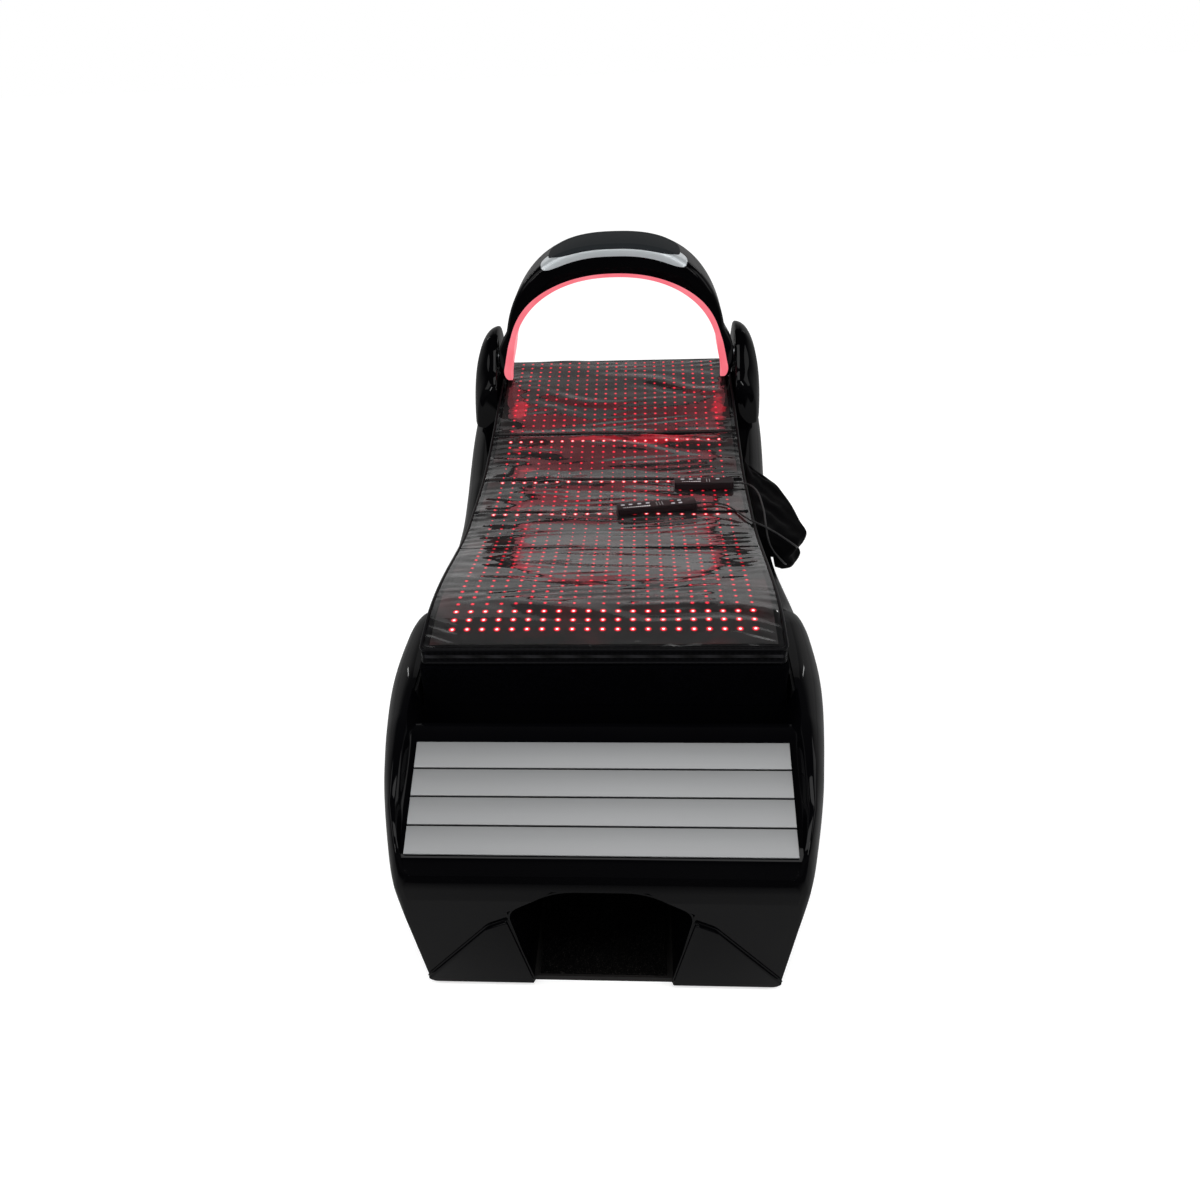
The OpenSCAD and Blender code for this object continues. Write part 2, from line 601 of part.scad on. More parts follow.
// Turns of the sweep, closer together round the ends of the legs
function leg_turn(k) = -asin(pow(sin(90 * (1 - k / leg_steps)) * leg_drop / arch_rise, in_power / 2));
leg_turns = [for (k = [0:leg_steps - 1]) leg_turn(k)];
arch_turns = concat(leg_turns, [for (i = [0:crown_turns]) 180 * i / crown_turns],
    [for (k = [leg_steps - 1:-1:0]) 180 - leg_turns[k]]);
// Inner and outer points at one turn; the outer one is held flat beside the pivot, and both
// draw in by a share over a run of height, so that the legs lean towards each other
in_pinch = 0.06;
out_pinch = 0.085;
flange_r = 30;
function drawn(x, z, share, from, run) = x * (1 - share * ease((z - from) / run));
function arch_inner(f) = let (p = oval(f, arch_in, arch_rise, in_power))
    [drawn(p[0], p[1], in_pinch, -80, 120), p[1]];
function arch_outer(f) = let (p = oval(f, arch_out + 8, arch_top, out_power))
    f < 0 || f > 180 ? [sign(cos(f)) * (arch_out - 12 * ease(-sin(f) * 3.4)), arch_inner(f)[1]]
    : [drawn(sign(p[0]) * min(arch_out, abs(p[0])), p[1], out_pinch, flange_r, 85), p[1]];
// How far up the crown a turn lies, from 0 at the legs to 1 at the top
function crown(f) = ease((sin(f) - 0.15) / 0.85);
// The leg's end keeps within a circle about the pivot, so that it clears the mattress as it turns
function leg_half(f) = f >= 0 && f <= 180 ? crown_d : sqrt(pow(leg_r, 2) - pow(arch_inner(f)[1], 2));
function arch_front(f) = -min(leg_d / 2 + 4 + 12 * crown(f), leg_half(f));
function arch_rear(f) = min(leg_d / 2 + (crown_d - leg_d - 8) * crown(f), leg_half(f));
// Mixes the inner and the outer line
function arch_mix(f, t) = arch_inner(f) * (1 - t) + arch_outer(f) * t;
function arch_point(f, t, y) = let (p = arch_mix(f, t)) [p[0], y, p[1]];
function arch_deep(f) = norm(arch_outer(f) - arch_inner(f));
// Hollow section, open towards the inside between two lips that hold the lining
lip_w = 10;
lip_d = 16;
function arch_ring(f) =
    let (y0 = arch_front(f), y1 = arch_rear(f), d = arch_deep(f), c = min(0.35, 14 / d),
        r = min(22, d * 0.45), q = min(0.56, lip_d / d), k = 1 - arch_wall * 1.2 / d)
    [arch_point(f, 0, y0 + 3), arch_point(f, c * 0.4, y0), arch_point(f, 1 - c * 1.3, y0 + r * 0.12),
        arch_point(f, 1 - c * 0.4, y0 + r * 0.45), arch_point(f, 1, y0 + r),
        arch_point(f, 1, y1 - r), arch_point(f, 1 - c * 0.4, y1 - r * 0.45),
        arch_point(f, 1 - c * 1.3, y1 - r * 0.12), arch_point(f, c * 0.4, y1), arch_point(f, 0, y1 - 3),
        arch_point(f, 0, y1 - lip_w), arch_point(f, q, y1 - lip_w),
        arch_point(f, q + 0.06, y1 - arch_wall - 3), arch_point(f, k, y1 - r * 0.45 - arch_wall - 4),
        arch_point(f, k, y0 + r * 0.45 + arch_wall + 4), arch_point(f, q + 0.06, y0 + arch_wall + 3),
        arch_point(f, q, y0 + lip_w), arch_point(f, 0, y0 + lip_w)];
module arch_frame() placed() translate([0, pivot_y, pivot_z]) children();
module arch_shell() color([0.02, 0.02, 0.02]) arch_frame()
    loft([for (f = arch_turns) arch_ring(f)]);
// Light board: a band in the open side of the casing
function band_ring(f, t0, t1) =
    let (y0 = arch_front(f) + lip_w + gap, y1 = arch_rear(f) - lip_w - gap, d = arch_deep(f))
    [for (p = [[t0, y0], [t1, y0], [t1, y1], [t0, y1]]) arch_point(f, p[0] / d, p[1])];
module arch_led_board() color([0.2, 0.3, 0.2]) arch_frame()
    loft([for (i = [2:len(arch_turns) - 3]) band_ring(arch_turns[i], lining_t + 8, lining_t + 10)]);
// Lining: closes the open side and folds over the casing's front edge into a lit lip
lit_lip = 10;
lit_leg = 12;
lip_t = 2;
function lip_out(f) = let (c = crown(f)) lit_lip + lit_leg * ease(1.3 + arch_inner(f)[1] / 70) * (1 - c * c);
function lining_ring(f) =
    let (y0 = arch_front(f), y1 = arch_rear(f) - lip_w - gap, d = arch_deep(f), a = 0.4 * min(0.35 * d, 14),
        w = min(lip_out(f), 0.75 * d))
    [for (p = [[-1.8, y0 - lip_t - gap], [w, y0 - lip_t - gap], [w, y0 - gap], [a, y0 - gap],
        [-gap, y0 + 3 - gap], [-gap, y0 + lip_w + gap], [1 + lining_t, y0 + lip_w + gap], [1 + lining_t, y1],
        [1, y1]]) arch_point(f, p[0] / d, p[1])];
module arch_lining() color([0.95, 0.45, 0.52]) arch_frame() loft([for (f = arch_turns) lining_ring(f)]);

// Silver trim round the crown's front edge and dark panel behind it, laid on the casing
trim_from = 54.5;
panel_from = 59;
crown_steps = 20;
skin_t = 2.5;
// A point on the crown by its depth under the outer line and its place behind the front edge
function crown_point(f, deep, back) = arch_point(f, 1 - deep / arch_deep(f), arch_front(f) + back);
function trim_ring(f) = let (low = 22 + 12 * ease((sin(f) - sin(trim_from)) / (1 - sin(trim_from))))
    [for (p = [[low, 1.6], [18, 2.2], [5.4, 9.4], [4.9, 10.8], [2.6, 9.8], [3.4, 7.7], [17.3, -0.2],
        [low, -0.8]]) crown_point(f, p[0], p[1])];
// The panel's ends are rounded in plan
function panel_ring(f) =
    let (s = abs(cos(f)) / cos(panel_from), in = 46 * pow(s, 8), y1 = arch_rear(f) - arch_front(f) - 26 - in,
        y0 = 21 + in, u = mid(3.7, -0.6, min(1, in / 2)))
    [for (p = [[u, 12 + in], [-gap, y0], [-gap, y1], [-gap - skin_t, y1], [-gap - skin_t, y0],
        [u - skin_t, 11.2 + in]]) crown_point(f, p[0], p[1])];
function crown_turn(from, i) = from + (180 - 2 * from) * i / crown_steps;
module arch_trim() color([0.7, 0.72, 0.73]) arch_frame()
    loft([for (i = [0:crown_steps]) trim_ring(crown_turn(trim_from, i))]);
module arch_top_panel() color([0.17, 0.18, 0.19]) arch_frame()
    loft([for (i = [0:crown_steps]) panel_ring(crown_turn(panel_from, i))]);

// Power electronics on the base plate
box_wall = 2;
module electronics_box(at, size, lid_t) placed() translate([at[0] - size[0] / 2, at[1], base_t]) {
    difference() {
        cube([size[0], size[1], size[2] - lid_t - gap]);
        translate([box_wall, box_wall, box_wall])
            cube([size[0] - 2 * box_wall, size[1] - 2 * box_wall, size[2]]);
    }
    translate([0, 0, size[2] - lid_t - gap]) cube([size[0], size[1], lid_t]);
}
box_lid = 2;
box_back = 680;
box_y = bed_l - box_back;
box_gap = 20;
module power_supply() color([0.6, 0.61, 0.62])
    electronics_box([-psu_l / 2 - box_gap, box_y], [psu_l, psu_w, psu_h], box_lid);
module control_unit() color([0.1, 0.1, 0.11])
    electronics_box([control_l / 2 + box_gap, box_y], [control_l, control_w, control_h], box_lid);

// Rear inlet: plate, mains inlet with its fuse drawer, and the power rocker
inlet_margin = 8;
inlet_plate_t = 3;
module at_inlet(x) placed() translate([x, bed_l, plate_z]) children();
module slab(w, h, y0, y1) {
    translate([-w / 2, y0, -h / 2]) cube([w, y1 - y0, h]);
}
module inlet_cut() {
    translate([0, bed_l, plate_z]) slab(plate_w - 2 * inlet_margin, plate_h - 2 * inlet_margin, -40, 20);
}
inlet_x = -34;
inlet_w = 28;
inlet_h = 48;
inlet_d = 32;
rocker_x = 34;
rocker_w = 16;
rocker_h = 26;
frame_wall = 2.5;
module inlet_plate() color([0.1, 0.1, 0.1]) at_inlet(0) difference() {
    slab(plate_w, plate_h, gap, inlet_plate_t + gap);
    translate([inlet_x, 0, 0]) slab(inlet_w + 2 * gap, inlet_h + 2 * gap, -1, 10);
    translate([rocker_x, 0, 0])
        slab(rocker_w + 2 * frame_wall + 2 * gap + 1, rocker_h + 2 * frame_wall + 2 * gap + 1, -1, 10);
}
drawer_w = 20;
drawer_h = 9;
drawer_d = 22;
drawer_z = 15;
socket_w = 20;
socket_h = 22;
socket_z = -7;
socket_d = 18;
inlet_lip = 3;
bezel_y = inlet_plate_t + 2 * gap;
module mains_inlet() color([0.05, 0.05, 0.05]) at_inlet(inlet_x) {
    difference() {
        union() {
            slab(inlet_w, inlet_h, -inlet_d, inlet_plate_t + gap + 1);
            slab(inlet_w + 2 * inlet_lip, inlet_h + 2 * inlet_lip, bezel_y, bezel_y + 2);
        }
        translate([0, 0, drawer_z]) slab(drawer_w + 2 * gap, drawer_h + 2 * gap, -drawer_d - gap, 20);
        translate([0, 0, socket_z]) slab(socket_w, socket_h, -socket_d, 20);
    }
    for (p = [[-6, -3], [6, -3], [0, 4]]) translate([p[0], 0, socket_z + p[1]]) slab(2, 4, -socket_d - 1, -4);
}
module fuse_drawer() color([0.08, 0.08, 0.08]) at_inlet(inlet_x) translate([0, 0, drawer_z]) {
    slab(drawer_w, drawer_h, -drawer_d, inlet_plate_t + 3);
    slab(8, 3, inlet_plate_t + 2, inlet_plate_t + 6);
}
// The rocker turns on a pin across its frame
rocker_pin = 1.5;
module rocker_frame() color([0.05, 0.05, 0.05]) at_inlet(rocker_x) difference() {
    union() {
        slab(rocker_w + 2 * frame_wall, rocker_h + 2 * frame_wall, -20, inlet_plate_t + gap + 1);
        slab(rocker_w + 4 * frame_wall, rocker_h + 4 * frame_wall, bezel_y, bezel_y + 2);
    }
    slab(rocker_w, rocker_h, -17, 20);
    translate([-rocker_w, 0, 0]) rotate([0, 90, 0])
        cylinder(r = rocker_pin + 0.05, h = 2 * rocker_w, $fn = 32);
}
rocker_tilt = 8;
module rocker() color([0.6, 0.1, 0.08]) at_inlet(rocker_x) {
    translate([-rocker_w / 2 - frame_wall + 0.4, 0, 0]) rotate([0, 90, 0])
        cylinder(r = rocker_pin, h = rocker_w + 2 * frame_wall - 0.8, $fn = 32);
    rotate([-rocker_tilt, 0, 0]) translate([0.6 - rocker_w / 2, 0, 0]) rotate([90, 0, 90])
        linear_extrude(rocker_w - 1.2) polygon([[-8, -7], [3, -11.2], [7.5, -11.2], [6.2, 0],
            [7.5, 11.2], [3, 11.2], [-8, 7]]);
}
// Air grille over the opening in the rear wall
vent_w = 260;
vent_h = 90;
vent_z = 380;
vent_slots = 6;
slot_h = 6;
module vent_cut() {
    translate([0, bed_l, vent_z]) slab(vent_w - 24, vent_h - 24, -40, 20);
}
module rear_vent() color([0.06, 0.06, 0.06]) placed() translate([0, bed_l, vent_z]) difference() {
    slab(vent_w, vent_h, gap, 4 + gap);
    for (i = [0:vent_slots - 1]) translate([0, 0, (i - (vent_slots - 1) / 2) * slot_h * 1.8])
        slab(vent_w - 36, slot_h, -1, 20);
}

// Velvet pouch: hangs from the mattress's right side over the rail
pouch_in = foam_half + 0.5;
pouch_reach = [[1046, 74], [1062, 100], [1100, 122], [1150, 143], [1200, 132], [1300, 112], [1400, 87],
    [1450, 68], [1500, 38], [1545, 14]];
tip_drop = [[1046, 69], [1100, 55], [1150, 58], [1250, 36], [1400, 21], [1545, 9]];
low_drop = [[1046, 101], [1070, 131], [1110, 147], [1200, 139], [1350, 113]];
rail_clear = 5;
fold = 5;
function pouch_ring(y) =
    let (p = top_z(y) - 6 - 22 * (1 - ease((y - 1046) / 30)), r = rail_z(y) + rail_clear,
        w = curve(width_knots, y), h = 1 - ease((y - 1380) / 70),
        wave = fold * sin((y - 1046) * 6.4), deep = fold * sin((y - 1046) * 9.1 + 60),
        out = max(foam_half + curve(pouch_reach, y) + wave, pouch_in + 14), tip = seat_z - curve(tip_drop, y),
        low = mid(r, seat_z - curve(low_drop, y), h), edge = mid(out - 3, w + 4, h))
    [[pouch_in, r], [pouch_in, p], [mid(pouch_in, out, 0.12), p + 3],
        [mid(pouch_in, out, 0.3), mid(p, tip, 0.12) + deep],
        [mid(pouch_in, out, 0.5), mid(p, tip, 0.36) - deep],
        [mid(pouch_in, out, 0.72), mid(p, tip, 0.62) + deep], [mid(pouch_in, out, 0.9), mid(p, tip, 0.86) + 2],
        [out, tip], [mid(out, edge, 0.06), mid(tip, low, 0.25)], [mid(out, edge, 0.3), mid(tip, low, 0.5)],
        [mid(out, edge, 0.16) + deep * h, mid(tip, low, 0.76)], [mid(out, edge, 0.34), low + 4 * h],
        [mid(out, edge, 0.7), low], [edge, low + 6 * h], [edge, mid(low, r, 0.5)], [edge, r - 0.2 * (1 - h)]];
pouch_places = [1046, 1050, 1060, 1074, 1090, 1106, 1122, 1138, 1150, 1162, 1178, 1194, 1210, 1230, 1250,
    1275, 1300, 1330, 1360, 1390, 1420, 1450, 1480, 1510, 1535, 1545];
module pouch() color([0.04, 0.04, 0.05]) placed()
    loft([for (y = pouch_places) [for (p = pouch_ring(y)) [p[0], y, p[1]]]]);

// Handset cords: a tube swept along a smooth curve through hand-set points
cord_a_route = [[252, 1205, 587], [272, 1209, 586], [300, 1210, 583], [325, 1196, 582], [345, 1165, 582],
    [362, 1130, 582], [378, 1098, 583], [396, 1070, 585], [418, 1050, 582], [445, 1038, 570],
    [466, 1036, 556], [487, 1038, 540], [503, 1048, 524], [508, 1068, 512]];
cord_b_route = [[368, 1345, 588], [380, 1344, 587], [398, 1332, 587], [411, 1305, 587], [418, 1270, 587],
    [421, 1235, 587], [422, 1200, 587], [423, 1170, 586], [423, 1140, 585], [422, 1110, 583],
    [421, 1080, 581], [421, 1052, 573], [424, 1036, 557], [430, 1030, 538], [440, 1029, 520],
    [452, 1030, 504], [464, 1034, 489], [474, 1042, 476], [480, 1058, 466]];
cord_sides = 8;
ring_pitch = 12;
function spline_at(p, i, t) =
    let (a = p[max(0, i - 1)], b = p[i], c = p[i + 1], d = p[min(len(p) - 1, i + 2)])
    0.5 * (2 * b + (c - a) * t + (2 * a - 5 * b + 4 * c - d) * t * t + (3 * b - a - 3 * c + d) * t * t * t);
function run_steps(p, i) = max(1, round(norm(p[i + 1] - p[i]) / ring_pitch));
function route_points(p) = concat(
    [for (i = [0:len(p) - 2]) let (n = run_steps(p, i)) for (k = [0:n - 1]) spline_at(p, i, k / n)],
    [p[len(p) - 1]]);
function cord_ring(at, along) =
    let (side = unit(cross(along, [0, 0, 1])), up = cross(side, along))
    [for (k = [0:cord_sides - 1]) let (f = 360 * k / cord_sides)
        at + (side * cos(f) + up * sin(f)) * cord_d / 2];
module cord(route) placed() {
    p = route_points(route);
    n = len(p);
    loft([for (i = [0:n - 1]) cord_ring(p[i], unit(p[min(n - 1, i + 1)] - p[max(0, i - 1)]))]);
}
module cord_a() color([0.04, 0.04, 0.04]) cord(cord_a_route);
module cord_b() color([0.04, 0.04, 0.04]) cord(cord_b_route);

// Handsets: hollow base, cover with key holes, tapered strain relief and sprung keys
hand_a_at = [128, 1181];
hand_a_turn = 11;
hand_b_at = [268, 1345];
hand_b_turn = 0;
hand_wall = 2.5;
key_l = 11;
key_w = 6;
key_rise = 1.2;
key_flange = 1.3;
flange_h = 0.9;
relief_l = 14;
relief_r = 4;
row_far = 8;
row_near = -9;
keys_a = [[-95, row_far], [-73, row_far], [-48, row_far], [-24, row_far], [45, row_far], [66, row_far],
    [45, row_near], [66, row_near]];
keys_b = [[-62, row_far], [-38, row_far], [-14, row_far], [40, row_far]];
module on_mat(at, turn) placed()
    translate([at[0], at[1], max(top_z(at[1] - 26), top_z(at[1] + 26), top_z(at[1]))])
        rotate([0, 0, turn]) children();
module rounded(l, w, r) {
    square([l - 2 * r, w], center = true);
    square([l, w - 2 * r], center = true);
    for (x = [-1, 1]) for (y = [-1, 1]) translate([x * (l / 2 - r), y * (w / 2 - r)]) circle(r = r, $fn = 32);
}
module handset_base(l) difference() {
    linear_extrude(hand_h - cover_t) rounded(l, hand_w, hand_r);
    translate([0, 0, hand_wall]) linear_extrude(hand_h)
        rounded(l - 2 * hand_wall, hand_w - 2 * hand_wall, hand_r - hand_wall);
}
module handset_cover(l, keys) translate([0, 0, hand_h - cover_t + gap / 2]) difference() {
    linear_extrude(cover_t) rounded(l, hand_w, hand_r);
    for (k = keys) translate([k[0], k[1], -1]) linear_extrude(cover_t + 2)
        rounded(key_l + 2 * key_gap, key_w + 2 * key_gap, key_w / 2 + key_gap - eps);
}
module handset_relief(l) translate([l / 2 + gap / 2, 0, hand_h / 2]) rotate([0, 90, 0])
    cylinder(r1 = relief_r, r2 = cord_d / 2 + 0.6, h = relief_l, $fn = 32);
module key(at) translate([at[0], at[1], hand_h - cover_t - 1]) {
    translate([0, 0, flange_h]) linear_extrude(cover_t + key_rise + gap / 2)
        rounded(key_l, key_w, key_w / 2 - eps);
    linear_extrude(flange_h)
        rounded(key_l + 2 * key_flange, key_w + 2 * key_flange, key_w / 2 + key_flange - eps);
}
module on_a() on_mat(hand_a_at, hand_a_turn) children();
module on_b() on_mat(hand_b_at, hand_b_turn) children();
module handset_a_base() color([0.2, 0.16, 0.17]) on_a() handset_base(hand_a_l);
module handset_a_cover() color([0.24, 0.19, 0.2]) on_a() handset_cover(hand_a_l, keys_a);
module handset_a_relief() color([0.05, 0.05, 0.05]) on_a() handset_relief(hand_a_l);
module handset_b_base() color([0.2, 0.16, 0.17]) on_b() handset_base(hand_b_l);
module handset_b_cover() color([0.24, 0.19, 0.2]) on_b() handset_cover(hand_b_l, keys_b);
module handset_b_relief() color([0.05, 0.05, 0.05]) on_b() handset_relief(hand_b_l);
module key_a1() color([0.55, 0.55, 0.57]) on_a() key(keys_a[0]);
module key_a2() color([0.55, 0.55, 0.57]) on_a() key(keys_a[1]);
module key_a3() color([0.55, 0.55, 0.57]) on_a() key(keys_a[2]);
module key_a4() color([0.55, 0.55, 0.57]) on_a() key(keys_a[3]);
module key_a5() color([0.7, 0.1, 0.1]) on_a() key(keys_a[4]);
module key_a6() color([0.55, 0.55, 0.57]) on_a() key(keys_a[5]);
module key_a7() color([0.55, 0.55, 0.57]) on_a() key(keys_a[6]);
module key_a8() color([0.55, 0.55, 0.57]) on_a() key(keys_a[7]);
module key_b1() color([0.55, 0.55, 0.57]) on_b() key(keys_b[0]);
module key_b2() color([0.55, 0.55, 0.57]) on_b() key(keys_b[1]);
module key_b3() color([0.55, 0.55, 0.57]) on_b() key(keys_b[2]);
module key_b4() color([0.55, 0.55, 0.57]) on_b() key(keys_b[3]);

base_plate();
steel_frame();
body_shell();
mattress_tub();
foam_mattress();
mat_base();
led_panel_foot();
led_panel_middle();
led_panel_head();
mat_window();
tread_carrier();
tread_strip_1();
tread_strip_2();
tread_strip_3();
tread_strip_4();
recess_liner();
recess_carpet();
skirt_left();
skirt_right();
wing_left();
wing_right();
hinge_bushes();
hinge_shafts();
hinge_nuts();
arch_shell();
arch_led_board();
arch_lining();
arch_trim();
arch_top_panel();
power_supply();
control_unit();
inlet_plate();
mains_inlet();
fuse_drawer();
rocker_frame();
rocker();
rear_vent();
pouch();
cord_a();
cord_b();
handset_a_base();
handset_a_cover();
handset_a_relief();
key_a1();
key_a2();
key_a3();
key_a4();
key_a5();
key_a6();
key_a7();
key_a8();
handset_b_base();
handset_b_cover();
handset_b_relief();
key_b1();
key_b2();
key_b3();
key_b4();
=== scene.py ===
from math import asin, atan, copysign, cos, degrees, dist, exp, hypot, pi, radians, sin, sqrt, tan
import bmesh
import bpy
from mathutils import Matrix, Vector, noise


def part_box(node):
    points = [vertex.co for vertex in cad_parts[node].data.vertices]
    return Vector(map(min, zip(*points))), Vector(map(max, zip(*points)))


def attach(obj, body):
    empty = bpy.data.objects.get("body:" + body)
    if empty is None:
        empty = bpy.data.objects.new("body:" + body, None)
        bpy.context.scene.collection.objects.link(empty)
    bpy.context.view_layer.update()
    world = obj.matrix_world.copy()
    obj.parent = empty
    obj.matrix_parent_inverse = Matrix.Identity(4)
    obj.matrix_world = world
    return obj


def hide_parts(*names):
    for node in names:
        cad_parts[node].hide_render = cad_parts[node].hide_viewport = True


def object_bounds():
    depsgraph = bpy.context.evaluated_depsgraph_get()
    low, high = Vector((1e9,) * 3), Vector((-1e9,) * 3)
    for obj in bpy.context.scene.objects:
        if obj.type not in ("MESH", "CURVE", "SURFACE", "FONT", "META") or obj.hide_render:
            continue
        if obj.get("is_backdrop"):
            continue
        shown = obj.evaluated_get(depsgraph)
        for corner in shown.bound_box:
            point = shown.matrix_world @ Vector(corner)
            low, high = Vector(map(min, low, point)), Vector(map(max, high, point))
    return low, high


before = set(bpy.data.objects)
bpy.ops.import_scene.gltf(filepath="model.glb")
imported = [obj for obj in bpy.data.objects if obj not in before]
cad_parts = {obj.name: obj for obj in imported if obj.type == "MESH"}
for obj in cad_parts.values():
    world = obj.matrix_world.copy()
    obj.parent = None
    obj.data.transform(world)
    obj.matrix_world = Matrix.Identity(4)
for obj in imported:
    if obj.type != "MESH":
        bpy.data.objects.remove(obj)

cad_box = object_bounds()

# Camera: stands at the foot end, a little to the right of the bed's middle and above it,
# looking down along the bed; the shift keeps the bed's middle left of the frame's middle.


def put(name, data):
    """Puts an object into the scene."""
    made = bpy.data.objects.new(name, data)
    bpy.context.scene.collection.objects.link(made)
    return made


yaw, pitch, roll = radians(-4.57), radians(28.5), radians(2.48)
ahead = Vector((sin(yaw) * cos(pitch), cos(yaw) * cos(pitch), -sin(pitch)))
level = Vector((cos(yaw), -sin(yaw), 0))
down = ahead.cross(level)
across = level * cos(roll) + down * sin(roll)
upright = level * sin(roll) - down * cos(roll)
eye = put("camera", bpy.data.cameras.new("camera"))
eye.matrix_world = Matrix((
    (across.x, upright.x, -ahead.x, 0.08688), (across.y, upright.y, -ahead.y, -2.81898),
    (across.z, upright.z, -ahead.z, 1.8507), (0, 0, 0, 1)))
eye.data.sensor_width = 36
eye.data.lens = 33.211
eye.data.shift_x = 0.02937
eye.data.clip_end = 60
bpy.context.scene.camera = eye

# Handset cords: two thin round cords of moulded rubber over soft copper strands. Each leaves its
# handset's end, lies on the light mat, and drops over its edge into the pouch.
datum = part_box("base_plate")[0][1] * 1000 - 8


def bed(x, y, z):
    """A point given in mm from the front of the plinth, in the row's metres."""
    return (x / 1000, (y + datum) / 1000, z / 1000)


def linear(colour):
    """An sRGB hex colour as linear light."""
    parts = [int(colour[i:i + 2], 16) / 255 for i in (1, 3, 5)]
    return tuple(c / 12.92 if c <= 0.04045 else ((c + 0.055) / 1.055) ** 2.4 for c in parts) + (1.0,)


def add(tree, kind, inputs=None, **settings):
    """Adds a node with its settings; an input takes a value, a socket or a node's first output."""
    node = tree.nodes.new("ShaderNode" + kind)
    for key, value in settings.items():
        setattr(node, key, value)
    for key, value in (inputs or {}).items():
        value = value.outputs[0] if isinstance(value, bpy.types.Node) else value
        if isinstance(value, bpy.types.NodeSocket):
            tree.links.new(value, node.inputs[key])
        else:
            node.inputs[key].default_value = value
    return node


def finish(name):
    """A new material, with its empty node tree and its place on the object in metres."""
    made = bpy.data.materials.new(name)
    made.use_nodes = True
    made.node_tree.nodes.clear()
    return made, made.node_tree, add(made.node_tree, "TexCoord").outputs["Object"]


def coat(tree, pattern, dark, light, skin, height=None, dent=(0, 0)):
    """Ends a material: two colours that follow a pattern, dents that follow a height, and its skin."""
    skin["Base Color"] = add(tree, "Mix", {0: pattern, 6: linear(dark), 7: linear(light)}, data_type="RGBA").outputs[2]
    if height:
        skin["Normal"] = add(tree, "Bump", {"Height": height, "Strength": dent[0], "Distance": dent[1]})
    add(tree, "OutputMaterial", {"Surface": add(tree, "BsdfPrincipled", skin)})


def grained(name, grain, detail, dark, light, skin, dent=None):
    """A material with one noise pattern; its grain is given in mm, as one length or one for each axis."""
    made, tree, place = finish(name)
    if isinstance(grain, tuple):
        place, grain = add(tree, "Mapping", {"Vector": place, "Scale": [1000 / length for length in grain]}), 1000
    speckle = add(tree, "TexNoise", {"Vector": place, "Scale": 1000 / grain, "Detail": detail})
    coat(tree, speckle, dark, light, skin, speckle if dent else None, dent)
    return made


# Moulded rubber: matt black with a fine even grain, so that it shows only soft broad highlights.
cord_rubber = grained("moulded_rubber", 1.2, 2, "#08080a", "#1a1a1b", {"Roughness": 0.5, "IOR": 1.5}, (0.25, 0.0001))

cord_d = 5
cord_routes = {
    "cord_a": [
        (252, 1205, 587), (272, 1209, 586), (300, 1210, 583), (325, 1196, 582), (345, 1165, 582),
        (362, 1130, 582), (378, 1098, 583), (396, 1070, 585), (418, 1050, 582), (445, 1038, 570),
        (466, 1036, 556), (487, 1038, 540), (503, 1048, 524), (508, 1068, 512)],
    "cord_b": [
        (368, 1345, 588), (380, 1344, 587), (398, 1332, 587), (411, 1305, 587), (418, 1270, 587),
        (421, 1235, 587), (422, 1200, 587), (423, 1170, 586), (423, 1140, 585), (422, 1110, 583),
        (421, 1080, 581), (421, 1052, 573), (424, 1036, 557), (430, 1030, 538), (440, 1029, 520),
        (452, 1030, 504), (464, 1034, 489), (474, 1042, 476), (480, 1058, 466)]}


def through(points, steps):
    """A smooth line through points, with that many steps between each two."""
    line = []
    for i in range(len(points) - 1):
        a, b, c, d = (Vector(points[min(len(points) - 1, max(0, k))]) for k in (i - 1, i, i + 1, i + 2))
        for k in range(steps):
            t = k / steps
            line.append(0.5 * (2 * b + (c - a) * t + (2 * a - 5 * b + 4 * c - d) * t ** 2
                               + (3 * b - a - 3 * c + d) * t ** 3))
    return line + [Vector(points[-1])]


def tube(name, line, radius, made, closed=False):
    """A round tube along a line of points in bed mm."""
    data = bpy.data.curves.new(name, "CURVE")
    data.dimensions = "3D"
    data.bevel_depth = radius / 1000
    data.bevel_resolution = 3
    data.use_fill_caps = not closed
    strand = data.splines.new("POLY")
    strand.points.add(len(line) - 1)
    for point, at in zip(strand.points, line):
        point.co = (*bed(*at), 1)
    strand.use_cyclic_u = closed
    strand.use_smooth = True
    data.materials.append(made)
    return put(name, data)


def mounted(piece, body, slot, *nodes):
    """Fixes a piece to its body, in place of the plain solids named."""
    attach(piece, body)
    if nodes:
        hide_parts(*nodes)
    return piece


for name, route in cord_routes.items():
    line = through(route, 4)
    cord = mounted(tube(name + "_rubber", line, cord_d / 2, cord_rubber), "bed", "cord_rubber", name)

# Studio: a plain white floor under a surround that mirrors white round the horizon and dim overhead.
# Soft lamps stand at both sides, over the tread and behind the head; narrow ones draw the gloss edges.
ground = bpy.data.meshes.new("floor")
ground.from_pydata([(-30, -30, 0), (30, -30, 0), (30, 30, 0), (-30, 30, 0)], [], [(0, 1, 2, 3)])
floor = put("floor", ground)
floor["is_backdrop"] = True
# Matt white paper: evens out to the surround's white and keeps the soft shadow under the bed. In
# gloss surfaces it ends a little way before the bed, where the unlit studio begins.
paper, tree, place = finish("floor_paper")
fibres = add(tree, "TexNoise", {"Vector": place, "Scale": 1000 / 3, "Detail": 2.0})
tone = add(tree, "Mix", {0: fibres, 6: linear("#cbcbcb"), 7: linear("#cdcdcd")}, data_type="RGBA")
matt = add(tree, "BsdfDiffuse", {"Color": tone.outputs[2]})
path = add(tree, "LightPath")
